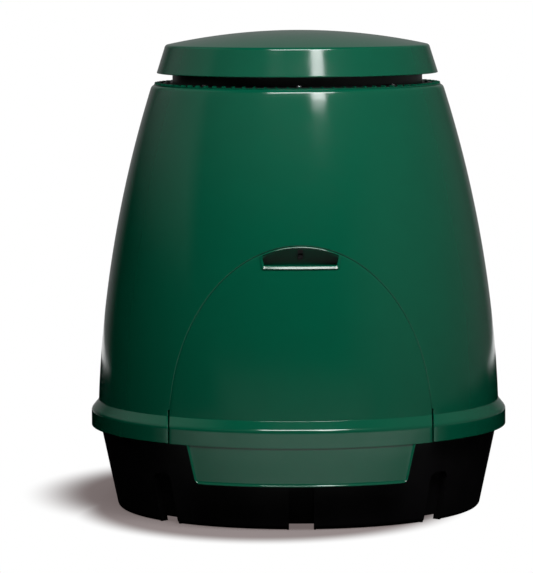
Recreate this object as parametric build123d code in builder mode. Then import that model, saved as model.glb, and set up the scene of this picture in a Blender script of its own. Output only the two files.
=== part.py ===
from build123d import *
import math
import os

# Garden compost bin: a bell-shaped shell on a round base tub, a domed lid on a
# vented neck, and an arched front door hinged behind its own apron.
# Millimetres, +Z up, origin at the centre of the ground ring, door facing -Y.

# Walls and clearances
wall = 4.0
seat_gap = 0.3
run_gap = 0.4
pin_clearance = 0.05
cutter_length = 16.0

# Bell-shaped body shell with its band
band_radius = 400.0
band_bottom = 158.0
band_height = 32.0
shoulder_rise = 17.0
shoulder_step = 14.0
shoulder_round = 12.0
dome_height = 605.5
dome_draw = 106.5
dome_bulge = 20.8
body_top_round = 10.0
neck_inset = 43.5

# Base tub, whose upright rim stands inside the band
tub_inset = 11.5
tub_draw = 35.7
tub_bend_rise = 10.0
tub_foot_round = 10.0
foot_ring_width = 16.0
sill_rise = 12.0
ledge_height = 34.0
ledge_width = 34.0

# Air niches round the tub
niche_count = 8
niche_width = 46.0
niche_top = 96.0
niche_corner = 15.0
niche_depth = 14.0
air_notch_height = 10.0

# Arched door
door_half_width = 244.0
door_rise = 337.0
door_gap = 1.2
band_slot = 4.0
rebate_width = 12.0
rebate_land = 8.0
rebate_thickness = 3.0
rebate_stop = 24.0
door_rim_depth = 10.0
door_rim_thickness = 3.0
door_rib_count = 3
door_rib_first = 78.0
door_rib_pitch = 70.0

# Apron under the door
apron_drop = 71.0
apron_inset = 32.0
apron_taper = 16.0
apron_sink = 1.5
apron_rim = 6.0
apron_corner = 9.0

# Grip pocket in the door
grip_half_top = 73.8
grip_taper = 4.5
grip_height = 40.3
grip_wall = 2.5
grip_lip = 4.9
grip_depth = 25.0
grip_bead = 2.0
grip_bead_proud = 3.0
grip_ceiling_step = 4.0
grip_front_land = 6.0
grip_patch_drop = 30.0
hook_length = 12.0
hook_reach = 3.0
hook_depth = 7.0

# Door bolt behind the grip pocket
bolt_half_width = 15.0
bolt_thickness = 3.0
bolt_height = 38.0
bolt_travel = 10.0
bolt_drop = 1.0
bolt_knob_width = 9.0
bolt_knob_height = 8.0
bolt_knob_reach = 9.0
bolt_knob_margin = 1.0
bolt_rail = 4.0
keeper_rise = 4.0
keeper_height = 14.0
keeper_half_width = 26.0

# Door hinge
hinge_offset = 100.0
hinge_rise = 11.0
hinge_stand = 13.3
pin_radius = 4.0
pin_head_radius = 6.4
eye_radius = 9.0
ear_radius = 6.6
eye_width = 20.0
ear_width = 6.0
ear_gap = 2.0
bracket_plate = 4.0
bracket_screw_pitch = 12.0
bracket_height = 20.0
bracket_clear = 3.0

# Lid
lid_rim_inset = 9.2
lid_gap = 22.0
lid_draw = 17.1
lid_skirt = 54.0
lid_crown = 27.5
lid_round = 7.0
lid_boss_radius = 7.0
lid_boss_offset = 1.0
lid_boss_height = 6.0

# Vented neck
collar_wall = 4.0
collar_flange = 3.0
window_count = 20
window_height = 20.0
shutter_wall = 4.0
shutter_flange = 4.0
shutter_flange_gap = 3.2
seat_ring = 5.5
key_count = 4
key_width = 24.0
key_depth = 6.0
comb_count = 80
comb_inset = 4.5
comb_width = 13.0
comb_gap = 4.0
comb_base = 1.5
comb_height = 4.5
comb_blade = 2.0

# Floor grate and aeration cone
grate_thickness = 6.0
grate_hole_radius = 50.0
grate_slot_width = 9.0
grate_slot_length = 44.0
grate_ring_pitch = 60.0
grate_ring_slots = 6
grate_edge = 20.0
grate_gap = 1.6
grate_post_radius = 66.0
grate_rib_depth = 14.0
grate_rib_width = 4.0
cone_foot_radius = 60.0
cone_top_radius = 32.0
cone_top = 300.0
cone_row_margin = 0.5
cone_row_offset = 0.75
cone_wall = 3.0
cone_slot_rows = 4
cone_slot_columns = 8
cone_slot_length = 38.0
cone_slot_width = 6.0
cap_thickness = 4.0

# Screws
screw_radius = 2.5
screw_head_radius = 5.0
screw_head_height = 2.5
screw_socket = 1.5
shell_screw_count = 6
shell_screw_span = 240.0
shell_boss_radius = 8.0
collar_screw_count = 8
lid_screw_count = 6

front = -90.0
back = 90.0
reach = 2.0 * band_radius

# Radii and heights that follow from the sizes above
shoulder_bottom = band_bottom + band_height
shoulder_top = shoulder_bottom + shoulder_rise
body_top = shoulder_top + dome_height
dome_foot_radius = band_radius - shoulder_step
dome_top_radius = dome_foot_radius - dome_draw
mouth_radius = dome_top_radius - neck_inset
tub_rim_radius = band_radius - wall - tub_inset
tub_foot_radius = tub_rim_radius - tub_draw
tub_bend_height = band_bottom + tub_bend_rise
sill_height = tub_bend_height + sill_rise
door_spring = shoulder_bottom
door_top = door_spring + door_rise
door_rib_heights = [shoulder_top + door_rib_first + door_rib_pitch * step for step in range(door_rib_count)]
apron_bottom = band_bottom - apron_drop
apron_half_top = door_half_width - apron_inset
apron_half_bottom = apron_half_top - apron_taper
grip_half_bottom = grip_half_top - grip_taper
grip_bottom = door_top - grip_height
hinge_height = apron_bottom + hinge_rise
lid_bottom = body_top + lid_gap
lid_corner_height = lid_bottom + lid_skirt
lid_top = lid_corner_height + lid_crown
lid_rim_radius = dome_top_radius - lid_rim_inset
lid_corner_radius = lid_rim_radius - lid_draw
lid_boss_ring = mouth_radius + lid_boss_offset
comb_outer_radius = dome_top_radius - comb_inset
comb_inner_radius = comb_outer_radius - comb_width
collar_radius = mouth_radius + collar_wall
collar_flange_radius = comb_inner_radius - comb_gap
collar_screw_ring = (collar_radius + collar_flange_radius) / 2
shutter_flange_radius = lid_corner_radius - shutter_flange_gap

# Bell curve: an arc that bulges from the chord between the shoulder and the top
dome_rise = body_top - shoulder_top
dome_draw = dome_foot_radius - dome_top_radius
dome_chord = math.hypot(dome_rise, dome_draw)
dome_arc = (dome_chord**2 / 4 + dome_bulge**2) / (2 * dome_bulge)
dome_offset = dome_arc - dome_bulge
dome_centre_radius = (dome_foot_radius + dome_top_radius) / 2 - dome_offset * dome_rise / dome_chord
dome_centre_height = (shoulder_top + body_top) / 2 - dome_offset * dome_draw / dome_chord
shoulder_slope = (shoulder_top - shoulder_bottom) / (band_radius - dome_foot_radius)
shoulder_shift = wall * math.tan(math.atan(1 / shoulder_slope) / 2)
tub_slope = (tub_rim_radius - tub_foot_radius) / tub_bend_height

# Lid curve and the stack that carries it on the neck
lid_rise = lid_top - lid_corner_height
lid_arc = (lid_corner_radius**2 + lid_rise**2) / (2 * lid_rise)


def dome_radius(height, inset=0.0):
    """Radius of the bell at a height, inset square to its surface."""
    return dome_centre_radius + math.sqrt((dome_arc - inset) ** 2 - (height - dome_centre_height) ** 2)


def tub_radius(height):
    """Outer radius of the sloping tub wall at a height."""
    return tub_foot_radius + tub_slope * height


def lid_height(radius, inset=0.0):
    """Height of the lid's dome over a radius, inset square to its surface."""
    return lid_top - lid_arc + math.sqrt((lid_arc - inset) ** 2 - radius**2)


def arch_height(x, grow=0.0):
    """Height of the door's arch at a distance from its middle."""
    rise = door_top - door_spring + grow
    return door_spring + rise * math.sqrt(1 - (x / (door_half_width + grow)) ** 2)


seat_top = lid_height(lid_boss_ring, wall) - lid_boss_height
shutter_top = seat_top - seat_ring - seat_gap
collar_top = shutter_top - shutter_flange - seat_gap
window_middle = (lid_bottom + collar_top) / 2
rim_inner_corner = dome_foot_radius - wall
rim_top = shoulder_top - shoulder_shift - (tub_rim_radius - rim_inner_corner) * shoulder_slope - seat_gap

hinge_y = -(math.sqrt(tub_radius(hinge_height) ** 2 - hinge_offset**2) + hinge_stand)
ledge_inner_radius = tub_radius(ledge_height) - ledge_width
grip_back = -(dome_radius(door_top) - grip_depth)
bolt_top = door_top - bolt_drop
pocket_top = door_top - grip_ceiling_step - grip_wall
bolt_knob_low = pocket_top - bolt_knob_margin - bolt_travel - bolt_knob_height


def bell_band(outer, inner, low, high):
    """Ring of the bell between two insets and two heights."""
    middle = (low + high) / 2
    with BuildPart() as ring:
        with BuildSketch(Plane.XZ):
            with BuildLine():
                ThreePointArc(
                    (dome_radius(low, outer), low),
                    (dome_radius(middle, outer), middle),
                    (dome_radius(high, outer), high),
                )
                Line((dome_radius(high, outer), high), (dome_radius(high, inner), high))
                ThreePointArc(
                    (dome_radius(high, inner), high),
                    (dome_radius(middle, inner), middle),
                    (dome_radius(low, inner), low),
                )
                Line((dome_radius(low, inner), low), (dome_radius(low, outer), low))
            make_face()
        revolve(axis=Axis.Z)
    return ring.part


def tub_band(outer, inner, low, high):
    """Ring of the sloping tub wall between two insets and two heights."""
    with BuildPart() as ring:
        with BuildSketch(Plane.XZ):
            with BuildLine():
                Polyline(
                    (tub_radius(low) - outer, low),
                    (tub_radius(high) - outer, high),
                    (tub_radius(high) - inner, high),
                    (tub_radius(low) - inner, low),
                    close=True,
                )
            make_face()
        revolve(axis=Axis.Z)
    return ring.part


def arch_prism(grow, foot):
    """Door outline, grown by a margin and cut at a foot height, run out to the front."""
    half = door_half_width + grow
    with BuildPart() as prism:
        with BuildSketch(Plane.XZ):
            with BuildLine():
                EllipticalCenterArc((0, door_spring), half, door_top - door_spring + grow, arc_size=180)
                Line((-half, door_spring), (-half, foot - reach))
                Line((-half, foot - reach), (half, foot - reach))
                Line((half, foot - reach), (half, door_spring))
            make_face()
            with Locations((0, foot)):
                Rectangle(reach, reach * 2, align=(Align.CENTER, Align.MAX), mode=Mode.SUBTRACT)
        extrude(amount=reach)
    return prism.part


def grip_prism(side, bottom, drop, near, far):
    """Grip outline, grown at the sides and bottom and dropped under the arch, between two Y places."""
    half_top = grip_half_top + side
    half_bottom = grip_half_bottom + side
    low = grip_bottom - bottom
    high = arch_height(half_top)
    edge = half_top - (half_top - half_bottom) * drop / (high - low)
    with BuildPart() as prism:
        with BuildSketch(Plane.XZ.offset(-far)):
            with BuildLine():
                Polyline((-edge, high - drop), (-half_bottom, low), (half_bottom, low), (edge, high - drop))
                ThreePointArc((edge, high - drop), (0, door_top - drop), (-edge, high - drop))
            make_face()
        extrude(amount=far - near)
    return prism.part


def apron_prism(inset):
    """Trapezoid of the apron seen from the front, inset at its sides and bottom."""
    with BuildPart() as prism:
        with BuildSketch(Plane.XZ) as outline:
            with BuildLine():
                Polyline(
                    (-apron_half_top + inset, shoulder_bottom),
                    (-apron_half_top + inset, band_bottom),
                    (-apron_half_bottom + inset, apron_bottom + inset),
                    (apron_half_bottom - inset, apron_bottom + inset),
                    (apron_half_top - inset, band_bottom),
                    (apron_half_top - inset, shoulder_bottom),
                    close=True,
                )
            make_face()
            fillet(outline.vertices().group_by(Axis.Y)[0], radius=apron_corner - inset / 2)
        extrude(amount=reach)
    return prism.part


def screw(length):
    """Screw along -Z with its head above the origin and a square driver socket."""
    with BuildPart() as body:
        Cylinder(screw_radius, length, align=(Align.CENTER, Align.CENTER, Align.MAX))
        Cylinder(screw_head_radius, screw_head_height, align=(Align.CENTER, Align.CENTER, Align.MIN))
        fillet(body.edges().group_by(Axis.Z)[-1], radius=screw_head_height / 3)
        with Locations((0, 0, screw_head_height)):
            Box(
                screw_socket * 2,
                screw_socket * 2,
                screw_socket,
                align=(Align.CENTER, Align.CENTER, Align.MAX),
                mode=Mode.SUBTRACT,
            )
    return body.part


# Lining round one niche, along +X
with BuildPart() as niche_lining:
    with BuildSketch(Plane.YZ) as lining_outline:
        Rectangle(
            niche_width + 2 * wall, niche_top + wall, align=(Align.CENTER, Align.MIN)
        )
        fillet(lining_outline.vertices().group_by(Axis.Y)[-1], radius=niche_corner + wall)
    extrude(amount=reach)
    add(tub_band(wall / 2, niche_depth + wall, 0, niche_top + 2 * wall), mode=Mode.INTERSECT)

# The space inside one niche
with BuildPart() as niche_space:
    with BuildSketch(Plane.YZ) as niche_outline:
        Rectangle(niche_width, niche_top, align=(Align.CENTER, Align.MIN))
        fillet(niche_outline.vertices().group_by(Axis.Y)[-1], radius=niche_corner)
    extrude(amount=reach)
    add(tub_band(-wall, niche_depth, -wall, niche_top + wall), mode=Mode.INTERSECT)

# Base tub: sloping wall, foot ring, ledge for the grate and niches that let air in
with BuildPart() as base_tub:
    with BuildSketch(Plane.XZ) as tub_section:
        with BuildLine():
            Polyline(
                (tub_foot_radius, 0),
                (tub_rim_radius, tub_bend_height),
                (tub_rim_radius, rim_top),
                (tub_rim_radius - wall, rim_top),
                (tub_rim_radius - wall, tub_bend_height),
                (tub_radius(wall) - wall, wall),
                (tub_foot_radius - foot_ring_width, wall),
                (tub_foot_radius - foot_ring_width, 0),
                close=True,
            )
        make_face()
        fillet(tub_section.vertices().group_by(Axis.Y)[0].sort_by(Axis.X)[-1], radius=tub_foot_round)
    revolve(axis=Axis.Z)
    add(tub_band(wall / 2, ledge_width, ledge_height - wall, ledge_height))
    with PolarLocations(0, niche_count, start_angle=front):
        add(niche_lining.part)
    with PolarLocations(0, niche_count, start_angle=front):
        add(niche_space.part, mode=Mode.SUBTRACT)
        Box(
            reach,
            niche_width,
            air_notch_height,
            align=(Align.MIN, Align.CENTER, Align.MIN),
            mode=Mode.SUBTRACT,
        )
    with Locations((0, 0, sill_height)):
        Box(
            2 * (door_half_width + band_slot),
            reach,
            reach,
            align=(Align.CENTER, Align.MAX, Align.MIN),
            mode=Mode.SUBTRACT,
        )

# Seats for the shell screws, driven outwards from inside the tub's upright rim
shell_screw_height = (tub_bend_height + sill_height) / 2
shell_boss_face = tub_rim_radius + seat_gap
shell_screw_places = [
    back - shell_screw_span / 2 + shell_screw_span * step / (shell_screw_count - 1)
    for step in range(shell_screw_count)
]


def shell_screw_seats(distance):
    """Planes on the screw axes at a distance from the bin's axis, facing inwards."""
    seats = []
    for angle in shell_screw_places:
        out = Vector(math.cos(math.radians(angle)), math.sin(math.radians(angle)), 0)
        seats.append(Plane(out * distance + Vector(0, 0, shell_screw_height), z_dir=-out))
    return seats


shell_screw_length = band_radius - wall - tub_rim_radius + wall
with base_tub:
    with Locations(*shell_screw_seats(tub_rim_radius - wall)):
        Cylinder(
            screw_radius + pin_clearance,
            cutter_length,
            mode=Mode.SUBTRACT,
        )

# Hinge brackets: a plate on the tub wall with two ears, one pair each side
bracket_low = hinge_height + eye_radius + run_gap
bracket_half = eye_width / 2 + ear_gap + ear_width
screw_across = bracket_screw_pitch / 2
screw_up = bracket_low + bracket_height / 2
plate_inner_x = hinge_offset - bracket_half
plate_front = -math.sqrt(tub_radius(bracket_low + bracket_height) ** 2 - plate_inner_x**2) - bracket_plate

brackets = {}
for side, name in ((-1, "hinge_bracket_left"), (1, "hinge_bracket_right")):
    with BuildPart() as bracket:
        with Locations((side * hinge_offset, plate_front, bracket_low)):
            Box(
                2 * bracket_half,
                hinge_offset,
                bracket_height,
                align=(Align.CENTER, Align.MIN, Align.MIN),
            )
        for ear in (-1, 1):
            place = side * hinge_offset + ear * (bracket_half - ear_width / 2)
            with BuildSketch(Plane.YZ.offset(place - ear_width / 2)):
                with Locations((hinge_y, hinge_height)):
                    Circle(ear_radius)
                with BuildLine():
                    Polyline(
                        (hinge_y, hinge_height - ear_radius),
                        (hinge_y + hinge_offset, hinge_height - ear_radius),
                        (hinge_y + hinge_offset, bracket_low + bracket_height),
                        (plate_front, bracket_low + bracket_height),
                        (hinge_y - ear_radius, hinge_height),
                        close=True,
                    )
                make_face()
            extrude(amount=ear_width)
        with Locations(Plane.YZ.offset(side * hinge_offset)):
            with Locations((hinge_y, hinge_height)):
                Cylinder(pin_radius + pin_clearance, 4 * bracket_half, mode=Mode.SUBTRACT)
        for across in (-screw_across, screw_across):
            with Locations((side * hinge_offset + across, plate_front, screw_up)):
                Cylinder(
                    screw_radius + pin_clearance,
                    reach,
                    rotation=(90, 0, 0),
                    mode=Mode.SUBTRACT,
                )
        add(tub_band(-seat_gap / 2, tub_radius(0), 0, tub_bend_height), mode=Mode.SUBTRACT)
        Cylinder(band_radius - apron_sink - wall - bracket_clear, reach, mode=Mode.INTERSECT)
    bracket.part.label = name
    brackets[name] = bracket.part
    with base_tub:
        for across in (-screw_across, screw_across):
            with Locations((side * hinge_offset + across, 0, screw_up)):
                Cylinder(
                    screw_radius + pin_clearance,
                    reach,
                    rotation=(90, 0, 0),
                    align=(Align.CENTER, Align.CENTER, Align.MIN),
                    mode=Mode.SUBTRACT,
                )
base_tub.part.label = "base_tub"

# Screws that hold the brackets to the tub wall
with BuildPart() as bracket_screws:
    for side in (-1, 1):
        for across in (-screw_across, screw_across):
            x = side * hinge_offset + across
            tip = math.sqrt((tub_radius(screw_up) - wall) ** 2 - x**2)
            with Locations(Plane((x, plate_front, screw_up), z_dir=(0, -1, 0))):
                add(screw(-plate_front - tip + wall))
bracket_screws.part.label = "bracket_screws"

# Hinge pins, headed at their outer ends
pins = {}
pin_half = bracket_half + ear_gap / 2
for side, name in ((-1, "hinge_pin_left"), (1, "hinge_pin_right")):
    with BuildPart() as pin:
        with Locations(Plane((side * hinge_offset, hinge_y, hinge_height), z_dir=(side, 0, 0))):
            Cylinder(pin_radius, 2 * pin_half)
            with Locations((0, 0, bracket_half + seat_gap / 2)):
                Cylinder(
                    pin_head_radius, ear_gap, align=(Align.CENTER, Align.CENTER, Align.MIN)
                )
        rims = pin.edges().filter_by(GeomType.CIRCLE).sort_by(Axis.X)
        fillet(rims[-1 if side > 0 else 0], radius=ear_gap / 4)
    pin.part.label = name
    pins[name] = pin.part

# The bell: band, sloped shoulder, curved wall and top flange, all of one thickness
with BuildPart() as bell:
    with BuildSketch(Plane.XZ) as bell_section:
        flange_low = body_top - wall
        with BuildLine():
            middle = (shoulder_top + body_top) / 2
            foot_in = shoulder_top - shoulder_shift
            ThreePointArc(
                (dome_radius(shoulder_top), shoulder_top),
                (dome_radius(middle), middle),
                (dome_radius(body_top), body_top),
            )
            Polyline(
                (dome_radius(body_top), body_top),
                (mouth_radius, body_top),
                (mouth_radius, flange_low),
                (dome_radius(flange_low, wall), flange_low),
            )
            ThreePointArc(
                (dome_radius(flange_low, wall), flange_low),
                (dome_radius(middle, wall), middle),
                (dome_radius(foot_in, wall), foot_in),
            )
            Polyline(
                (dome_radius(foot_in, wall), foot_in),
                (band_radius - wall, shoulder_bottom - shoulder_shift),
                (band_radius - wall, band_bottom),
                (band_radius, band_bottom),
                (band_radius, shoulder_bottom),
                (dome_radius(shoulder_top), shoulder_top),
            )
        make_face()
        corners = bell_section.vertices()
        top_corner = corners.group_by(Axis.Y)[-1].sort_by(Axis.X)[-1]
        fillet(top_corner, radius=body_top_round)
        corners = bell_section.vertices()
        fillet(
            corners.filter_by(lambda corner: abs(corner.Y - shoulder_bottom) < wall / 8),
            radius=shoulder_round,
        )
        corners = bell_section.vertices()
        fillet(
            corners.filter_by(
                lambda corner: abs(corner.Y - shoulder_bottom + shoulder_shift) < wall / 8
            ),
            radius=shoulder_round - wall,
        )
    revolve(axis=Axis.Z)

rebate_low = shoulder_top + seat_gap
rebate_high = door_top + rebate_land + wall

# Thicker frame behind the shell round the doorway, open at the grip
with BuildPart() as door_frame:
    add(bell_band(wall / 2, wall + seat_gap + rebate_thickness, rebate_low, rebate_high))
    add(arch_prism(rebate_land, rebate_low), mode=Mode.INTERSECT)
    with Locations((0, 0, arch_height(grip_half_top) - rebate_stop)):
        Box(
            2 * (grip_half_top + rebate_width),
            reach,
            reach,
            align=(Align.CENTER, Align.MAX, Align.MIN),
            mode=Mode.SUBTRACT,
        )

# Space that the door's own thickness fills, with its gap
with BuildPart() as door_space:
    add(bell_band(-niche_depth, wall + seat_gap, band_bottom, body_top))
    add(arch_prism(door_gap, 0), mode=Mode.INTERSECT)

# Body shell: the bell with the doorway cut out, a rebate behind the door and screw bosses
with BuildPart() as body_shell:
    add(bell.part)
    add(door_frame.part)
    add(arch_prism(-rebate_width, 0), mode=Mode.SUBTRACT)
    add(door_space.part, mode=Mode.SUBTRACT)
    with Locations((0, 0, shoulder_top)):
        Box(
            2 * (door_half_width + band_slot),
            reach,
            reach,
            align=(Align.CENTER, Align.MAX, Align.MAX),
            mode=Mode.SUBTRACT,
        )
    with Locations(*shell_screw_seats(band_radius - wall / 2)):
        Cylinder(
            shell_boss_radius,
            band_radius - wall / 2 - shell_boss_face,
            align=(Align.CENTER, Align.CENTER, Align.MIN),
        )
    with Locations(*shell_screw_seats(tub_rim_radius)):
        Cylinder(
            screw_radius + pin_clearance,
            2 * (band_radius - wall - tub_rim_radius),
            mode=Mode.SUBTRACT,
        )
    with PolarLocations(collar_screw_ring, collar_screw_count):
        with Locations((0, 0, body_top)):
            Cylinder(screw_radius + pin_clearance, cutter_length, mode=Mode.SUBTRACT)

with BuildPart() as body_screws:
    with Locations(*shell_screw_seats(tub_rim_radius - wall - seat_gap / 2)):
        add(screw(shell_screw_length - wall / 2))
body_screws.part.label = "body_screws"

# Stiffening rim inside the door's edge
with BuildPart() as door_rim:
    add(
        bell_band(
            wall - seat_gap,
            wall + door_rim_depth,
            shoulder_top,
            door_top,
        )
    )
    add(arch_prism(-rebate_width - door_gap, shoulder_top), mode=Mode.INTERSECT)
    add(
        arch_prism(-rebate_width - door_gap - door_rim_thickness, 0),
        mode=Mode.SUBTRACT,
    )

# The door's skin from below the grip up, laid back after the rim and ribs are cleared
with BuildPart() as grip_wall_patch:
    add(bell.part)
    add(arch_prism(0, grip_bottom - grip_patch_drop), mode=Mode.INTERSECT)

# Apron skin, sunk a little below the band
with BuildPart() as apron:
    with BuildSketch(Plane.XZ):
        with Locations((band_radius - apron_sink, apron_bottom - wall)):
            Rectangle(
                wall,
                band_bottom - apron_bottom + 2 * wall,
                align=(Align.MAX, Align.MIN),
            )
    revolve(axis=Axis.Z)
    add(apron_prism(0), mode=Mode.INTERSECT)

# Raised edge along the sides and bottom of the apron
with BuildPart() as apron_edge:
    with BuildSketch(Plane.XZ):
        with Locations((band_radius, apron_bottom - wall)):
            Rectangle(
                wall,
                band_bottom - apron_bottom + wall,
                align=(Align.MAX, Align.MIN),
            )
    revolve(axis=Axis.Z)
    add(apron_prism(0), mode=Mode.INTERSECT)
    add(apron_prism(apron_rim), mode=Mode.SUBTRACT)


def door_rib(rib_height):
    """Cross rib on the back of the door."""
    with BuildPart() as rib:
        add(
            bell_band(
                wall - seat_gap,
                wall + door_rim_depth,
                rib_height,
                rib_height + door_rim_thickness,
            )
        )
        add(arch_prism(-rebate_width - 2 * door_gap, 0), mode=Mode.INTERSECT)
    return rib.part


def hinge_eye(side):
    """Hinge eye on an arm that reaches back from the apron."""
    with BuildPart() as eye:
        with BuildSketch(Plane.YZ.offset(side * hinge_offset - eye_width / 2)):
            with Locations((hinge_y, hinge_height)):
                Circle(eye_radius)
                Rectangle(
                    band_radius, 2 * eye_radius, align=(Align.MAX, Align.CENTER)
                )
        extrude(amount=eye_width)
        Cylinder(band_radius - wall, reach, mode=Mode.INTERSECT)
    return eye.part


# Door panel: the piece of the bell inside the arch, with its apron, stiffening rim,
# cross ribs and the two hinge eyes behind the apron
with BuildPart() as door_panel:
    add(bell.part)
    add(arch_prism(0, band_bottom), mode=Mode.INTERSECT)
    add(door_rim.part)
    for rib_height in door_rib_heights:
        add(door_rib(rib_height))
    with Locations((0, 0, grip_bottom - 2 * door_rim_depth)):
        Box(
            2 * (grip_half_top + door_rim_depth),
            dome_radius(door_top, -wall),
            reach,
            align=(Align.CENTER, Align.MAX, Align.MIN),
            mode=Mode.SUBTRACT,
        )
    add(grip_wall_patch.part)
    add(grip_prism(pin_clearance, pin_clearance, 0, -reach, 0), mode=Mode.SUBTRACT)
    with Locations((0, 0, door_top - door_rim_depth)):
        Box(
            2 * grip_half_top + 2 * pin_clearance,
            reach,
            2 * door_rim_depth,
            align=(Align.CENTER, Align.MAX, Align.CENTER),
            mode=Mode.SUBTRACT,
        )
    add(apron.part)
    add(apron_edge.part)
    for side in (-1, 1):
        add(hinge_eye(side))
        with Locations(Plane((side * hinge_offset, hinge_y, hinge_height), z_dir=(1, 0, 0))):
            Cylinder(pin_radius + pin_clearance, 2 * eye_width, mode=Mode.SUBTRACT)
door_panel.part.label = "door_panel"


# Grip pocket: a cup through the door with a raised bead, a stepped ceiling that
# clears the shell as the door swings, snap hooks, and rails for the bolt behind it
front_land = -dome_radius(door_top) + grip_front_land
cup_back = grip_back + grip_wall

with BuildPart() as grip_bead_ring:
    add(bell_band(-grip_bead_proud, -pin_clearance, shoulder_top, body_top))
    add(grip_prism(grip_bead, grip_bead, grip_wall / 4, -reach, 0), mode=Mode.INTERSECT)

with BuildPart() as grip_sleeve:
    add(bell_band(-grip_bead_proud, grip_depth * 2, shoulder_top, body_top))
    add(grip_prism(0, 0, 0, -reach, front_land), mode=Mode.INTERSECT)

with BuildPart() as grip_cup:
    add(grip_sleeve.part)
    add(grip_bead_ring.part)
    add(grip_prism(0, 0, grip_ceiling_step, front_land - grip_wall, cup_back))
    add(
        grip_prism(-grip_wall, -grip_lip, grip_wall, -reach, front_land - grip_wall),
        mode=Mode.SUBTRACT,
    )
    add(
        grip_prism(-grip_wall, -grip_lip, grip_ceiling_step + grip_wall, -reach, grip_back),
        mode=Mode.SUBTRACT,
    )
    hook_height = grip_bottom + grip_lip + hook_length / 2
    hook_side = grip_half_bottom + grip_lip / 2
    hook_inner = dome_radius(hook_height + hook_length / 2, wall) - seat_gap
    hook_face = -math.sqrt(hook_inner**2 - (hook_side + hook_reach) ** 2)
    for side in (-1, 1):
        with Locations((side * hook_side, hook_face, hook_height)):
            Box(2 * hook_reach, hook_depth, hook_length, align=(Align.CENTER, Align.MIN, Align.CENTER))
    low_outer = (grip_half_bottom + hook_length) / 2
    low_inner = dome_radius(grip_bottom + hook_reach, wall) - seat_gap
    low_face = -math.sqrt(low_inner**2 - low_outer**2)
    with GridLocations(grip_half_bottom, 0, 2, 1):
        with Locations((0, low_face, grip_bottom)):
            Box(hook_length, hook_depth, 2 * hook_reach, align=(Align.CENTER, Align.MIN, Align.CENTER))
    add(
        grip_prism(-grip_wall, -grip_lip, grip_ceiling_step + grip_wall, -reach, grip_back),
        mode=Mode.SUBTRACT,
    )
    rail_low = bolt_top - bolt_height
    rail_high = door_top - grip_ceiling_step - seat_gap
    for side in (-1, 1):
        with Locations((side * (bolt_half_width + run_gap), cup_back, rail_low)):
            Box(
                bolt_rail,
                bolt_thickness + 2 * run_gap + grip_wall,
                rail_high - rail_low - 2 * seat_gap,
                align=(Align.MIN if side > 0 else Align.MAX, Align.MIN, Align.MIN),
            )
        with Locations(
            (side * (bolt_half_width - grip_wall), cup_back + bolt_thickness + 2 * run_gap, rail_low)
        ):
            Box(
                bolt_rail + grip_wall + run_gap,
                grip_wall,
                rail_high - rail_low - 2 * seat_gap,
                align=(Align.MIN if side > 0 else Align.MAX, Align.MIN, Align.MIN),
            )
    with Locations((0, cup_back - grip_wall, bolt_knob_low - run_gap)):
        Box(
            bolt_knob_width + 2 * run_gap,
            4 * grip_wall,
            bolt_knob_height + bolt_travel + 2 * run_gap,
            align=(Align.CENTER, Align.CENTER, Align.MIN),
            mode=Mode.SUBTRACT,
        )
grip_cup.part.label = "grip_cup"

# Door bolt: a plate that slides up behind the keeper, moved by a knob in the pocket
with BuildPart() as door_bolt:
    with Locations((0, cup_back + run_gap, bolt_top - bolt_height)):
        Box(
            2 * bolt_half_width,
            bolt_thickness,
            bolt_height,
            align=(Align.CENTER, Align.MIN, Align.MIN),
        )
    with Locations((0, cup_back + run_gap + bolt_thickness, bolt_knob_low)):
        Box(
            bolt_knob_width,
            bolt_knob_reach + bolt_thickness,
            bolt_knob_height,
            align=(Align.CENTER, Align.MAX, Align.MIN),
        )
    fillet(door_bolt.edges().filter_by(Axis.Z).group_by(Axis.Y)[0], radius=bolt_thickness / 3)
door_bolt.part.label = "door_bolt"

# Keeper on the shell that the raised bolt stands behind, and its two screws
keeper_low = door_top + keeper_rise
keeper_back = cup_back
keeper_screw_x = (bolt_half_width + keeper_half_width) / 2
with BuildPart() as bolt_keeper:
    with Locations((0, keeper_back, keeper_low)):
        Box(
            2 * keeper_half_width,
            reach,
            keeper_height,
            align=(Align.CENTER, Align.MAX, Align.MIN),
        )
    add(
        bell_band(wall + seat_gap / 2, mouth_radius / 2, shoulder_top, body_top),
        mode=Mode.INTERSECT,
    )
    with GridLocations(2 * keeper_screw_x, 0, 2, 1):
        with Locations((0, keeper_back, keeper_low + keeper_height / 2)):
            Cylinder(
                screw_radius + pin_clearance, reach, rotation=(90, 0, 0), mode=Mode.SUBTRACT
            )
bolt_keeper.part.label = "bolt_keeper"

keeper_tip = -math.sqrt(dome_radius(keeper_low + keeper_height, wall / 4) ** 2 - keeper_screw_x**2)
with BuildPart() as keeper_screws:
    for side in (-1, 1):
        place = (side * keeper_screw_x, keeper_back, keeper_low + keeper_height / 2)
        with Locations(Plane(place, z_dir=(0, 1, 0))):
            add(screw(keeper_back - keeper_tip))
keeper_screws.part.label = "keeper_screws"
with body_shell:
    for side in (-1, 1):
        place = (side * keeper_screw_x, keeper_back, keeper_low + keeper_height / 2)
        with Locations(Plane(place, z_dir=(0, 1, 0))):
            Cylinder(
                screw_radius + pin_clearance,
                keeper_back - keeper_tip,
                align=(Align.CENTER, Align.CENTER, Align.MAX),
                mode=Mode.SUBTRACT,
            )
body_shell.part.label = "body_shell"

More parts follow.
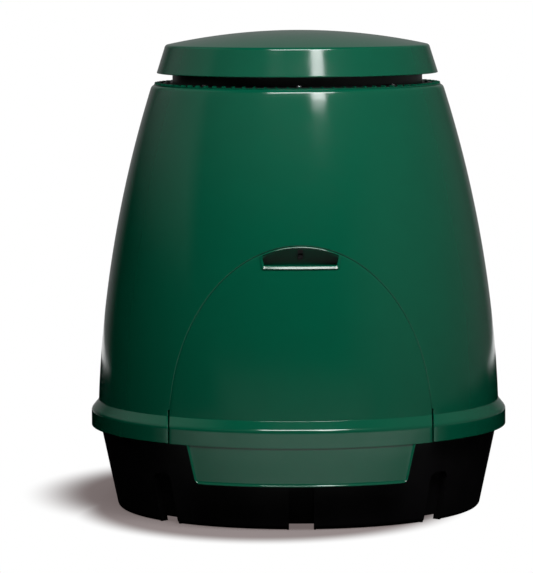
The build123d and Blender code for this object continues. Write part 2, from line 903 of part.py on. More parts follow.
# Comb of upright blades on the body's top edge, which keeps the air gap open
with BuildPart() as air_comb:
    with BuildSketch(Plane.XY.offset(body_top)):
        Circle(comb_outer_radius)
        Circle(comb_inner_radius, mode=Mode.SUBTRACT)
    extrude(amount=comb_base)
    with PolarLocations((comb_inner_radius + comb_outer_radius) / 2, comb_count):
        with Locations((0, 0, body_top)):
            Box(
                comb_outer_radius - comb_inner_radius - comb_base,
                comb_blade,
                comb_height,
                align=(Align.CENTER, Align.CENTER, Align.MIN),
            )
air_comb.part.label = "air_comb"


def windows(radius):
    """Ring of radial cuts for the vent windows."""
    pitch = 360 / window_count
    width = 2 * collar_radius * math.sin(math.radians(pitch / 4))
    with BuildPart() as cuts:
        with PolarLocations(radius, window_count):
            with Locations((0, 0, window_middle)):
                Box(6 * wall, width, window_height)
    return cuts.part


# Neck collar: a vented cylinder on a foot flange screwed to the body's top
with BuildPart() as neck_collar:
    with BuildSketch(Plane.XZ):
        with BuildLine():
            Polyline(
                (mouth_radius, body_top),
                (collar_flange_radius, body_top),
                (collar_flange_radius, body_top + collar_flange),
                (collar_radius, body_top + collar_flange),
                (collar_radius, collar_top),
                (mouth_radius, collar_top),
                close=True,
            )
        make_face()
    revolve(axis=Axis.Z)
    add(windows(collar_radius), mode=Mode.SUBTRACT)
    with PolarLocations(collar_screw_ring, collar_screw_count):
        with Locations((0, 0, body_top)):
            Cylinder(screw_radius + pin_clearance, cutter_length, mode=Mode.SUBTRACT)
neck_collar.part.label = "neck_collar"

with BuildPart() as collar_screws:
    with PolarLocations(collar_screw_ring, collar_screw_count):
        with Locations((0, 0, body_top + collar_flange)):
            add(screw(collar_flange + 2 * wall))
collar_screws.part.label = "collar_screws"

# Vent shutter: a ring inside the collar, hung on its top edge, with matching windows
shutter_outer = mouth_radius - seat_gap
key_inner = shutter_flange_radius - key_depth
with BuildPart() as vent_shutter:
    with BuildSketch(Plane.XZ):
        with BuildLine():
            Polyline(
                (shutter_outer - shutter_wall, body_top - wall),
                (shutter_outer, body_top - wall),
                (shutter_outer, collar_top + seat_gap),
                (shutter_flange_radius, collar_top + seat_gap),
                (shutter_flange_radius, shutter_top),
                (shutter_outer - shutter_wall, shutter_top),
                close=True,
            )
        make_face()
    revolve(axis=Axis.Z)
    add(windows(shutter_outer - shutter_wall / 2), mode=Mode.SUBTRACT)
    with PolarLocations(key_inner - seat_gap, key_count):
        with Locations((0, 0, shutter_top)):
            Box(
                reach / 4,
                key_width + 2 * seat_gap,
                4 * shutter_flange,
                align=(Align.MIN, Align.CENTER, Align.CENTER),
                mode=Mode.SUBTRACT,
            )
vent_shutter.part.label = "vent_shutter"

# Lid: domed cap with a leaning rim and bosses under it for the seat ring
lid_lean = (lid_rim_radius - lid_corner_radius) / (lid_corner_height - lid_bottom)
lid_wall_across = wall * math.hypot(1, lid_lean)
lid_inner_corner = lid_corner_radius - lid_wall_across
lid_inner_height = lid_height(lid_inner_corner, wall)
with BuildPart() as lid_shell:
    with BuildSketch(Plane.XZ) as lid_section:
        with BuildLine():
            ThreePointArc(
                (0, lid_top),
                (lid_corner_radius / 2, lid_height(lid_corner_radius / 2)),
                (lid_corner_radius, lid_height(lid_corner_radius)),
            )
            Polyline(
                (lid_corner_radius, lid_height(lid_corner_radius)),
                (lid_rim_radius, lid_bottom),
                (lid_rim_radius - lid_wall_across, lid_bottom),
                (lid_inner_corner, lid_inner_height),
            )
            ThreePointArc(
                (lid_inner_corner, lid_inner_height),
                (lid_inner_corner / 2, lid_height(lid_inner_corner / 2, wall)),
                (0, lid_top - wall),
            )
            Line((0, lid_top - wall), (0, lid_top))
        make_face()
        corners = lid_section.vertices().filter_by(
            lambda corner: corner.X > lid_inner_corner / 2 and corner.Y > lid_inner_height + seat_gap
        )
        fillet(corners, radius=lid_round)
    revolve(axis=Axis.Z)
    with PolarLocations(lid_boss_ring, lid_screw_count):
        with Locations((0, 0, seat_top)):
            Cylinder(
                lid_boss_radius,
                lid_boss_height + wall / 2,
                align=(Align.CENTER, Align.CENTER, Align.MIN),
            )
            Cylinder(
                screw_radius + pin_clearance,
                lid_boss_height,
                align=(Align.CENTER, Align.CENTER, Align.MIN),
                mode=Mode.SUBTRACT,
            )
lid_shell.part.label = "lid_shell"

# Seat ring under the lid, keyed to the shutter so that turning the lid turns it
seat_low = seat_top - seat_ring
with BuildPart() as lid_seat_ring:
    with BuildSketch(Plane.XY.offset(seat_low)):
        Circle(shutter_flange_radius)
        Circle(shutter_outer - 2 * shutter_wall, mode=Mode.SUBTRACT)
    extrude(amount=seat_ring)
    with BuildSketch(Plane.XY.offset(seat_low + wall / 2)):
        Circle(shutter_flange_radius)
        with PolarLocations(key_inner, key_count):
            Rectangle(key_depth * 2, key_width, align=(Align.MIN, Align.CENTER), mode=Mode.INTERSECT)
    extrude(amount=-key_depth - wall / 2)
    with PolarLocations(lid_boss_ring, lid_screw_count):
        with Locations((0, 0, seat_low)):
            CounterBoreHole(
                screw_radius + pin_clearance,
                screw_head_radius + seat_gap,
                screw_head_height + seat_gap,
                4 * seat_ring,
            )
lid_seat_ring.part.label = "lid_seat_ring"

with BuildPart() as lid_screws:
    head_seat = seat_low + screw_head_height + seat_gap
    with PolarLocations(lid_boss_ring, lid_screw_count):
        with Locations(Location((0, 0, head_seat), (180, 0, 0))):
            add(screw(seat_top + lid_boss_height - wall / 4 - head_seat))
lid_screws.part.label = "lid_screws"

# Floor grate on the tub's ledge, with a post to the ground and ribs below
grate_radius = tub_radius(ledge_height) - niche_depth - wall - grate_gap
grate_ring_room = grate_radius - grate_edge - grate_slot_length / 2 - grate_hole_radius
grate_ring_count = int(grate_ring_room / grate_ring_pitch)
with BuildPart() as floor_grate:
    with BuildSketch(Plane.XY.offset(ledge_height)):
        Circle(grate_radius)
        Circle(grate_hole_radius, mode=Mode.SUBTRACT)
        for ring in range(1, grate_ring_count + 1):
            with PolarLocations(grate_hole_radius + grate_ring_pitch * ring, grate_ring_slots * (ring + 1)):
                SlotOverall(grate_slot_length, grate_slot_width, mode=Mode.SUBTRACT)
    extrude(amount=grate_thickness)
    with BuildSketch(Plane.XY):
        Circle(grate_post_radius)
        Circle(grate_post_radius - wall, mode=Mode.SUBTRACT)
    extrude(amount=ledge_height)
    rib_start = grate_post_radius - wall / 2
    rib_end = ledge_inner_radius - 2 * wall
    with PolarLocations(rib_start, niche_count, start_angle=90 / grate_ring_slots):
        with Locations((0, 0, ledge_height)):
            Box(
                rib_end - rib_start,
                grate_rib_width,
                grate_rib_depth,
                align=(Align.MIN, Align.CENTER, Align.MAX),
            )
floor_grate.part.label = "floor_grate"

# Aeration cone: a slotted cone that brings air from under the grate into the heap
cone_base = ledge_height + grate_thickness


def cone_radius(height):
    """Outer radius of the aeration cone at a height."""
    return cone_foot_radius + (cone_top_radius - cone_foot_radius) * (height - cone_base) / (
        cone_top - cone_base
    )


with BuildPart() as aeration_cone:
    with BuildSketch(Plane.XZ):
        with BuildLine():
            Polyline(
                (cone_foot_radius - cone_wall, cone_base),
                (grate_post_radius + wall, cone_base),
                (grate_post_radius + wall, cone_base + cone_wall),
                (cone_foot_radius, cone_base + cone_wall),
                (cone_top_radius, cone_top),
                (cone_top_radius - cone_wall, cone_top),
                close=True,
            )
        make_face()
    revolve(axis=Axis.Z)
    row_pitch = (cone_top - cone_base) / (cone_slot_rows + cone_row_margin)
    for row in range(cone_slot_rows):
        row_height = cone_base + row_pitch * (row + cone_row_offset)
        turn = 180 / cone_slot_columns * (row % 2)
        with PolarLocations(cone_radius(row_height), cone_slot_columns, start_angle=turn):
            with Locations((0, 0, row_height)):
                Box(8 * cone_wall, cone_slot_width, cone_slot_length, mode=Mode.SUBTRACT)
aeration_cone.part.label = "aeration_cone"

# Cap that closes the top of the aeration cone
with BuildPart() as cone_cap:
    with Locations((0, 0, cone_top)):
        Cylinder(
            cone_top_radius + cone_wall,
            cap_thickness,
            align=(Align.CENTER, Align.CENTER, Align.MIN),
        )
        Cylinder(
            cone_top_radius - cone_wall - seat_gap,
            2 * cap_thickness,
            align=(Align.CENTER, Align.CENTER, Align.MAX),
        )
    fillet(cone_cap.edges().group_by(Axis.Z)[-1], radius=cap_thickness / 2)
cone_cap.part.label = "cone_cap"

pieces = [
    base_tub.part,
    *brackets.values(),
    bracket_screws.part,
    *pins.values(),
    body_shell.part,
    body_screws.part,
    door_panel.part,
    grip_cup.part,
    door_bolt.part,
    bolt_keeper.part,
    keeper_screws.part,
    air_comb.part,
    neck_collar.part,
    collar_screws.part,
    vent_shutter.part,
    lid_shell.part,
    lid_seat_ring.part,
    lid_screws.part,
    floor_grate.part,
    aeration_cone.part,
    cone_cap.part,
]
os.makedirs("parts", exist_ok=True)
for piece in pieces:
    export_step(piece, f"parts/{piece.label}.step")
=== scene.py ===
import math

import bpy
from mathutils import Matrix, Vector


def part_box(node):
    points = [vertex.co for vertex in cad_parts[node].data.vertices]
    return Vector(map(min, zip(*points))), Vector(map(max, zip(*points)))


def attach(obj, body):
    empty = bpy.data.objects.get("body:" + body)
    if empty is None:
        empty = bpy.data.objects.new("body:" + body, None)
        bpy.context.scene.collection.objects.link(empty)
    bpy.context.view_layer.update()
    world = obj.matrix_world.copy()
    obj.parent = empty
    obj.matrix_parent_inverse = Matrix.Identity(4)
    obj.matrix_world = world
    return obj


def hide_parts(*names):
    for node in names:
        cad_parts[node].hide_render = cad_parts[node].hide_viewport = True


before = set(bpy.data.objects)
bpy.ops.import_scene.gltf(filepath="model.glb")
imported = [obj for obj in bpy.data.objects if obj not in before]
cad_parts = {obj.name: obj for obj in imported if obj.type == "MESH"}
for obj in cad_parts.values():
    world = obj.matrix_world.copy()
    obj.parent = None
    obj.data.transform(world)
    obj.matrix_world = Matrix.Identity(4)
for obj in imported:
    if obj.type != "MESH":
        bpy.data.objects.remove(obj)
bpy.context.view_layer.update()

# A bell-shaped garden compost bin: dark green moulded shell and lid, arched front
# door with a grip pocket, black base tub. Metres, +Z up, door facing -Y.

bl_info = {
    "name": "Garden Compost Bin",
    "version": (1, 0, 0),
    "blender": (4, 5, 0),
    "location": "View3D > Sidebar > Compost Bin",
    "description": "Dresses a garden compost bin and sets a plain studio round it",
    "category": "Object",
}

MM = 0.001

# The photograph's frame and the camera fitted to it, in pixels, millimetres, metres and degrees
PHOTO_WIDTH = 533
PHOTO_HEIGHT = 573
SENSOR_WIDTH = 36
FOCAL_PIXELS = 3899
AXIS_PIXEL = 298.1
CAMERA_DISTANCE = 7.5
CAMERA_HEIGHT = 1.0935
CAMERA_PITCH = 5.12
CAMERA_ROLL = 0.22

# Dark tent round the set
TENT_RADIUS = 4.3
TENT_HEIGHT = 4.9

# Fields of the floor that show the bin's shadow, as shift, scale, reach and end;
# inside them the floor is painted darker than the white beyond, as painted shadow round the real cast shadow
SHADOW_FIELDS = (
    ((0.13, -0.13, 0.0), (1.0, 0.8, 1.0), 0.28, 0.42),
    ((0.06, 0.0, 0.0), (1.0, 0.75, 1.0), 0.32, 0.4),
)

# The paper sweep's width, depth and nearest edge
FLOOR_SIZE = (12.0, 10.0, -7.0)

# Painted light and shade in the floor's colour as the bin's gloss and bounce see it: how light it is
# over shares of a far distance, and where it fades to black behind
FLOOR_FAR = 4.0
FLOOR_GLOSS_PAINT = ((0.15, 0.0), (0.19, 0.9), (0.32, 0.45), (0.44, 0.9), (0.66, 0.5), (0.85, 0.15))
FLOOR_BACK = (-1.1, -0.3)

# Grey fields of the tent, which glow though they are no lamp and paint grey reflections and a little fill
# light
# on the bin: each is the least of its ramps of axis, start, end and level
TENT_GLOW_FIELDS = (
    (("X", 1.0, 4.0, 0.14),),
    (("Y", 3.0, 4.2, 0.2),),
    (("Z", 1.4, 3.2, 0.16), ("Z", 4.85, 3.8, 0.16)),
    (("Z", 0.7, 0.1, 0.17), ("Y", -2.5, -3.8, 0.17)),
    (("X", -2.0, -4.0, 0.3), ("Z", 0.8, 2.2, 0.3), ("Y", -2.0, -0.3, 0.3)),
)

# Lamps, each as its place, the point that it faces, and its width and height
KEY_LAMP = ((1.3, -1.85, 2.6), (0.0, 0.0, 0.45), (1.0, 1.0))
OVERHEAD_LAMP = ((0.1, -2.0, 2.75), (0.0, 0.0, 0.4), (2.2, 0.6))
STRIP_LAMP = ((0.73, -2.48, 2.62), (0.0, 0.0, 0.86), (0.5, 0.7))

# Play between pieces that sit in or on each other
PLAY = 0.3 * MM

# Lean of the grip's bead and lower lip, as depth over height
LIP_LEAN = 0.45

# Degrees from the front within which the shell's faces fan out over the arch
FRONT_SPREAD = 54

# Faces across the shell's front and round its back, up the bell, and across and up the door
FRONT_COLUMNS = 80
BACK_COLUMNS = 180
BELL_ROWS = 61
DOOR_COLUMNS = 120
DOOR_ROWS = 40

BOXES = {node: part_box(node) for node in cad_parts}


def srgb(code):
    """Linear colour from an sRGB hex code."""
    levels = [int(code[i : i + 2], 16) / 255 for i in (0, 2, 4)]
    return tuple(v / 12.92 if v <= 0.04045 else ((v + 0.055) / 1.055) ** 2.4 for v in levels)


def high(node):
    """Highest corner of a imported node."""
    return BOXES[node][1]


def low(node):
    """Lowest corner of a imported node."""
    return BOXES[node][0]


class BinSizes(bpy.types.PropertyGroup):
    """Sizes of the modelled pieces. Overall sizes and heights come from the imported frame."""

    wall: bpy.props.FloatProperty(
        name="Wall", description="Thickness of the moulded walls", default=4 * MM, unit="LENGTH"
    )
    edge_round: bpy.props.FloatProperty(
        name="Edge round", description="Radius on the cut edges of the shell and door",
        default=1.2 * MM, unit="LENGTH",
    )
    door_round: bpy.props.FloatProperty(
        name="Door round", description="Radius on the door's outer edge, which catches the light",
        default=1.8 * MM, unit="LENGTH",
    )
    shoulder_rise: bpy.props.FloatProperty(
        name="Shoulder rise", description="Height of the sloped shoulder above the band",
        default=17 * MM, unit="LENGTH",
    )
    shoulder_step: bpy.props.FloatProperty(
        name="Shoulder step", description="How far the band stands out from the bell",
        default=14 * MM, unit="LENGTH",
    )
    band_height: bpy.props.FloatProperty(
        name="Band height", description="Height of the upright band below the shoulder",
        default=32 * MM, unit="LENGTH",
    )
    shoulder_round: bpy.props.FloatProperty(
        name="Shoulder round", description="Radius between the band and the shoulder",
        default=12 * MM, unit="LENGTH",
    )
    bell_bulge: bpy.props.FloatProperty(
        name="Bell bulge", description="How far the bell bows out from a straight cone",
        default=20.8 * MM, unit="LENGTH",
    )
    top_radius: bpy.props.FloatProperty(
        name="Top radius", description="Radius of the bell at its top edge",
        default=279.5 * MM, unit="LENGTH",
    )
    top_round: bpy.props.FloatProperty(
        name="Top round", description="Radius on the body's top edge", default=10 * MM, unit="LENGTH"
    )
    mouth_radius: bpy.props.FloatProperty(
        name="Mouth radius", description="Radius of the opening under the lid",
        default=236 * MM, unit="LENGTH",
    )
    door_gap: bpy.props.FloatProperty(
        name="Door gap", description="Gap between the arched door and the shell",
        default=0.8 * MM, unit="LENGTH",
    )
    slot_width: bpy.props.FloatProperty(
        name="Slot width", description="Slot beside the door in the band", default=4 * MM, unit="LENGTH"
    )
    lid_lean: bpy.props.FloatProperty(
        name="Lid lean", description="How far the lid's rim leans in over its height",
        default=17.1 * MM, unit="LENGTH",
    )
    lid_skirt: bpy.props.FloatProperty(
        name="Lid skirt", description="Height of the lid's rim", default=54 * MM, unit="LENGTH"
    )
    lid_round: bpy.props.FloatProperty(
        name="Lid round", description="Radius between the lid's rim and its dome",
        default=7 * MM, unit="LENGTH",
    )
    edge_fine: bpy.props.FloatProperty(
        name="Fine round", description="Radius on the edges of ribs and small bars",
        default=0.5 * MM, unit="LENGTH",
    )
    rim_inset: bpy.props.FloatProperty(
        name="Rim inset", description="Distance of the door's rim in from the arch",
        default=13.2 * MM, unit="LENGTH",
    )
    rim_depth: bpy.props.FloatProperty(
        name="Rim depth", description="How deep the rim and ribs stand on the door's back",
        default=10 * MM, unit="LENGTH",
    )
    rib_thickness: bpy.props.FloatProperty(
        name="Rib thickness", description="Thickness of the rim and the ribs", default=3 * MM, unit="LENGTH"
    )
    rib_first: bpy.props.FloatProperty(
        name="First rib", description="Height of the lowest rib above the shoulder",
        default=78 * MM, unit="LENGTH",
    )
    rib_pitch: bpy.props.FloatProperty(
        name="Rib pitch", description="Distance between the door's ribs", default=70 * MM, unit="LENGTH"
    )
    frame_outside: bpy.props.FloatProperty(
        name="Frame outside", description="Width of the door frame beyond the doorway",
        default=8 * MM, unit="LENGTH",
    )
    frame_inside: bpy.props.FloatProperty(
        name="Frame inside", description="Width of the rebate that the door closes on",
        default=12 * MM, unit="LENGTH",
    )
    eye_radius: bpy.props.FloatProperty(
        name="Eye radius", description="Radius of the hinge eyes", default=9 * MM, unit="LENGTH"
    )
    eye_width: bpy.props.FloatProperty(
        name="Eye width", description="Width of a hinge eye", default=20 * MM, unit="LENGTH"
    )
    pin_radius: bpy.props.FloatProperty(
        name="Pin hole", description="Radius of the hole for the hinge pin", default=4.05 * MM, unit="LENGTH"
    )
    grip_half: bpy.props.FloatProperty(
        name="Grip half width", description="Half width of the grip under its arched top",
        default=73.8 * MM, unit="LENGTH",
    )
    grip_taper: bpy.props.FloatProperty(
        name="Grip taper", description="How much narrower each side is at the bottom",
        default=4.5 * MM, unit="LENGTH",
    )
    grip_height: bpy.props.FloatProperty(
        name="Grip height", description="Height of the grip in the middle", default=40.3 * MM, unit="LENGTH"
    )
    grip_wall: bpy.props.FloatProperty(
        name="Grip wall", description="Wall of the pocket", default=2.5 * MM, unit="LENGTH"
    )
    grip_lip: bpy.props.FloatProperty(
        name="Grip lip", description="Thickness of the pocket's lower lip", default=4.9 * MM, unit="LENGTH"
    )
    grip_bead: bpy.props.FloatProperty(
        name="Bead", description="How far the bead lies on the door round the pocket",
        default=2 * MM, unit="LENGTH",
    )
    grip_proud: bpy.props.FloatProperty(
        name="Bead height", description="How far the bead stands out", default=3 * MM, unit="LENGTH"
    )
    grip_step: bpy.props.FloatProperty(
        name="Ceiling step", description="Step down in the pocket's ceiling", default=4 * MM, unit="LENGTH"
    )
    grip_land: bpy.props.FloatProperty(
        name="Grip land", description="Depth of the pocket in front of the step",
        default=6 * MM, unit="LENGTH",
    )
    grip_depth: bpy.props.FloatProperty(
        name="Grip depth", description="Depth of the pocket at its top", default=25 * MM, unit="LENGTH"
    )
    knob_slot: bpy.props.FloatVectorProperty(
        name="Knob slot", description="Width, height and foot above the pocket's floor of the bolt's slot",
        default=(9.8 * MM, 18.8 * MM, 14 * MM), unit="LENGTH",
    )
    apron_foot_half: bpy.props.FloatProperty(
        name="Apron foot", description="Half width of the apron at its foot", default=196 * MM, unit="LENGTH"
    )
    apron_head_half: bpy.props.FloatProperty(
        name="Apron head", description="Half width of the apron under the band",
        default=212 * MM, unit="LENGTH",
    )
    apron_corner: bpy.props.FloatProperty(
        name="Apron corner", description="Radius of the apron's lower corners",
        default=9 * MM, unit="LENGTH",
    )
    apron_rim: bpy.props.FloatProperty(
        name="Apron rim", description="Width of the raised edge round the apron",
        default=6 * MM, unit="LENGTH",
    )
    apron_sink: bpy.props.FloatProperty(
        name="Apron sink", description="How deep the apron lies inside its raised edge",
        default=1.9 * MM, unit="LENGTH",
    )


class BinColours(bpy.types.PropertyGroup):
    """Colours of the bin and its studio."""

    green: bpy.props.FloatVectorProperty(
        name="Green", description="Moulded green plastic", subtype="COLOR", default=srgb("034934")
    )
    black: bpy.props.FloatVectorProperty(
        name="Black", description="Recycled black plastic", subtype="COLOR", default=srgb("0c0b0d")
    )
    steel: bpy.props.FloatVectorProperty(
        name="Steel", description="Zinc-plated screws and pins", subtype="COLOR", default=srgb("b9bcc0")
    )
    # The paper's grey and the glow in the shade colour make the floor round the bin darker than the white
    # beyond: painted shadow, with the real cast shadow in it
    floor: bpy.props.FloatVectorProperty(
        name="Floor", description="Paper sweep", subtype="COLOR", default=srgb("645f5f")
    )
    shade: bpy.props.FloatVectorProperty(
        name="Shade", description="Darkest tone of the shadow on the paper", subtype="COLOR",
        default=srgb("6e6463"),
    )


class BinLight(bpy.types.PropertyGroup):
    """Strengths of the studio's lamps and the turn of the camera."""

    key: bpy.props.FloatProperty(
        name="Key", description="Softbox high on the right, lights the matt colour, in watts",
        default=38, unit="POWER",
    )
    overhead: bpy.props.FloatProperty(
        name="Overhead", description="Wide softbox above the front, in watts", default=80, unit="POWER"
    )
    strip: bpy.props.FloatProperty(
        name="Strip", description="Narrow softbox right of the camera, in watts", default=18, unit="POWER"
    )
    fill: bpy.props.FloatProperty(
        name="Fill", description="Level of the room on matt surfaces", default=0.08, subtype="FACTOR"
    )
    camera_turn: bpy.props.FloatProperty(
        name="Camera turn", description="Angle of the camera from the bin's front, in degrees",
        default=-0.75,
    )


def sizes():
    return bpy.context.scene.bin_sizes


def colours():
    return bpy.context.scene.bin_colours


# Outlines in the half plane of radius and height


def rounded(points, radii, steps=6):
    """Polyline through the points with the given corner radii turned into arcs."""
    line = []
    for index, (point, radius) in enumerate(zip(points, radii)):
        point = Vector(point)
        if not radius:
            line.append(point)
            continue
        back = (Vector(points[index - 1]) - point).normalized()
        ahead = (Vector(points[(index + 1) % len(points)]) - point).normalized()
        half = math.acos(max(-1, min(1, back.dot(ahead)))) / 2
        centre = point + (back + ahead).normalized() * radius / math.sin(half)
        start = point + back * radius / math.tan(half) - centre
        end = point + ahead * radius / math.tan(half) - centre
        turn = start.angle_signed(end)
        for step in range(steps + 1):
            line.append(centre + Matrix.Rotation(-turn * step / steps, 2) @ start)
    return line


def braced(line, margin):
    """Line with points added near both ends of its long straight runs."""
    result = [line[0]]
    for start, end in zip(line, line[1:]):
        length = (end - start).length
        if length > 4 * margin:
            result += [start.lerp(end, margin / length), end.lerp(start, margin / length)]
        result.append(end)
    return result


def bell():
    """Foot and top of the bell above its shoulder, and the centre and radius of its arc."""
    s = sizes()
    base = low("body_shell").z + s.band_height + s.shoulder_rise
    foot = Vector((high("body_shell").x - s.shoulder_step, base))
    top = Vector((s.top_radius, high("body_shell").z))
    chord = top - foot
    arc = (chord.length**2 / 4 + s.bell_bulge**2) / (2 * s.bell_bulge)
    out = Vector((chord.y, -chord.x)).normalized()
    centre = (foot + top) / 2 - out * (arc - s.bell_bulge)
    return foot, top, centre, arc


def bell_radius(height, inset=0.0):
    """Radius of the bell at a height above the shoulder."""
    _, _, centre, arc = bell()
    return centre.x + math.sqrt((arc - inset) ** 2 - (height - centre.y) ** 2)


def arch(turn, grow=0.0):
    """Point of the door's arch, seen from the front, at an angle from its crown."""
    half = high("door_panel").x + grow
    spring = low("body_shell").z + sizes().band_height
    rise = high("grip_cup").z - spring + grow
    return half * math.sin(turn), spring + rise * math.cos(turn)


def arch_foot(height, grow=0.0):
    """Angle from the crown at which the arch comes down to a height."""
    spring = arch(math.pi / 2, grow)[1]
    return math.acos((height - spring) / (arch(0, grow)[1] - spring))


# Meshes


def fresh():
    """Leave edit mode with nothing selected."""
    if bpy.context.object and bpy.context.object.mode != "OBJECT":
        bpy.ops.object.mode_set(mode="OBJECT")
    bpy.ops.object.select_all(action="DESELECT")


def pick(obj):
    """Make one object the only selected and active one."""
    fresh()
    obj.select_set(True)
    bpy.context.view_layer.objects.active = obj


def named(name):
    """Name the active object and its mesh."""
    obj = bpy.context.object
    obj.name = name
    obj.data.name = name
    return obj


def placed(name, data):
    """New object in the scene that holds a mesh, a lamp or a camera."""
    obj = bpy.data.objects.new(name, data)
    bpy.context.collection.objects.link(obj)
    return obj


def laid_grid(name, columns, rows, place):
    """Grid whose vertices are laid at place(u, v), with u and v from 0 to 1."""
    fresh()
    bpy.ops.mesh.primitive_grid_add(x_subdivisions=columns, y_subdivisions=rows, size=1)
    obj = named(name)
    for vertex in obj.data.vertices:
        vertex.co = place(vertex.co.x + 0.5, vertex.co.y + 0.5)
    return obj


def turned(name, outline, steps=256):
    """Solid of revolution spun from an outline of radius and height points that ends on the axis."""
    mesh = bpy.data.meshes.new(name)
    obj = placed(name, mesh)
    edges = [(i, i + 1) for i in range(len(outline) - 1)]
    mesh.from_pydata([(radius, 0, height) for radius, height in outline], edges, [])
    pick(obj)
    bpy.ops.object.mode_set(mode="EDIT")
    bpy.ops.mesh.select_all(action="SELECT")
    bpy.ops.mesh.spin(steps=steps, angle=2 * math.pi, center=(0, 0, 0), axis=(0, 0, 1))
    bpy.ops.object.mode_set(mode="OBJECT")
    return weld(obj, MM / 100)


def lofted(name, rings):
    """Closed solid through rings of equally many points."""
    count = len(rings[0])
    ends = [[sum(ring, Vector((0, 0, 0))) / count] * count for ring in (rings[0], rings[-1])]
    rings = [ends[0], *rings, ends[1]]
    last = len(rings) - 1
    return weld(laid_grid(name, count, last, lambda u, v: rings[round(v * last)][round(u * count) % count]))


def prism(name, corner, far):
    """Square block between two opposite corners."""
    fresh()
    bpy.ops.mesh.primitive_cube_add(size=1)
    obj = named(name)
    corner, far = Vector(corner), Vector(far)
    size = [abs(side) for side in far - corner]
    obj.data.transform(Matrix.Translation((corner + far) / 2) @ Matrix.Diagonal((*size, 1)))
    return obj


def cross_rod(name, middle, radius, length):
    """Round rod that lies across the bin, centred on a point."""
    fresh()
    bpy.ops.mesh.primitive_cylinder_add(vertices=40, radius=radius, depth=length)
    obj = named(name)
    turn = Vector((1, 0, 0)).to_track_quat("Z", "Y").to_matrix().to_4x4()
    obj.data.transform(Matrix.Translation(middle) @ turn)
    return obj


def cut(obj, tool):
    """Cut one solid out of another."""
    apply(obj, "BOOLEAN", operation="DIFFERENCE", solver="EXACT", object=tool)
    bpy.data.objects.remove(tool)


def walled(obj):
    """Give a sheet the thickness of the moulded walls, inwards."""
    apply(obj, "SOLIDIFY", thickness=sizes().wall, offset=-1, use_even_offset=True)
    return obj


def eased(obj, width, angle=50, segments=2):
    """Round the edges of a solid that are sharper than an angle."""
    apply(
        obj, "BEVEL", width=width, segments=segments, limit_method="ANGLE",
        angle_limit=math.radians(angle), use_clamp_overlap=True,
    )
    return obj


def apply(obj, kind, **settings):
    """Add one modifier with its settings and apply it."""
    pick(obj)
    modifier = obj.modifiers.new(kind.lower(), kind)
    for key, value in settings.items():
        setattr(modifier, key, value)
    bpy.ops.object.modifier_apply(modifier=modifier.name)


def joined(name, pieces):
    """Join pieces into one and name it."""
    fresh()
    for piece in pieces:
        piece.select_set(True)
    bpy.context.view_layer.objects.active = pieces[0]
    bpy.ops.object.join()
    return named(name)


def weld(obj, distance=MM / 50):
    """Merge doubles and point the faces outwards."""
    pick(obj)
    bpy.ops.object.mode_set(mode="EDIT")
    bpy.ops.mesh.select_all(action="SELECT")
    bpy.ops.mesh.remove_doubles(threshold=distance)
    bpy.ops.mesh.normals_make_consistent(inside=False)
    bpy.ops.object.mode_set(mode="OBJECT")
    return obj


def smooth(obj, angle=35):
    """Shade smooth except across sharp corners."""
    pick(obj)
    bpy.ops.object.shade_smooth_by_angle(angle=math.radians(angle))


def finish_piece(obj, body, slot, node):
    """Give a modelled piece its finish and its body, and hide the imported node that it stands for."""
    obj.data.materials.clear()
    obj.data.materials.append(FINISHES[slot]())
    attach(obj, body)
    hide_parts(node)


def softbox(name, place, aim, size, power):
    """Rectangular area lamp that faces a point."""
    lamp = bpy.data.lights.new(name, "AREA")
    lamp.shape = "RECTANGLE"
    lamp.size, lamp.size_y = size
    lamp.energy = power
    obj = placed(name, lamp)
    obj.location = place
    obj.rotation_euler = (Vector(aim) - Vector(place)).to_track_quat("-Z", "Y").to_euler()
    return obj


def photo_camera(degrees):
    """Camera fitted to the photograph, turned round the bin by an angle."""
    camera = placed("camera", bpy.data.cameras.new("camera"))
    camera.data.sensor_width = SENSOR_WIDTH
    camera.data.lens = FOCAL_PIXELS * SENSOR_WIDTH / PHOTO_HEIGHT
    camera.data.shift_x = (PHOTO_WIDTH / 2 - AXIS_PIXEL) / PHOTO_HEIGHT
    camera.data.clip_end = 100
    camera.matrix_world = (
        Matrix.Rotation(math.radians(degrees), 4, "Z")
        @ Matrix.Translation((0, -CAMERA_DISTANCE, CAMERA_HEIGHT))
        @ Matrix.Rotation(math.radians(90 - CAMERA_PITCH), 4, "X")
        @ Matrix.Rotation(math.radians(-CAMERA_ROLL), 4, "Z")
    )
    return camera


# Materials


def add(tree, kind, settings=(), links=()):
    """Add a node with its settings, and links from other nodes' outputs to its inputs."""
    node = tree.nodes.new(kind)
    for key, value in dict(settings).items():
        if isinstance(key, str) and hasattr(node, key):
            setattr(node, key, value)
        else:
            node.inputs[key].default_value = value
    for socket, (source, output) in dict(links).items():
        tree.links.new(source.outputs[output], node.inputs[socket])
    return node


def new_material(name):
    """Empty node material, or None when it already exists."""
    if name in bpy.data.materials:
        return None
    material = bpy.data.materials.new(name)
    material.use_nodes = True
    material.node_tree.nodes.clear()
    return material


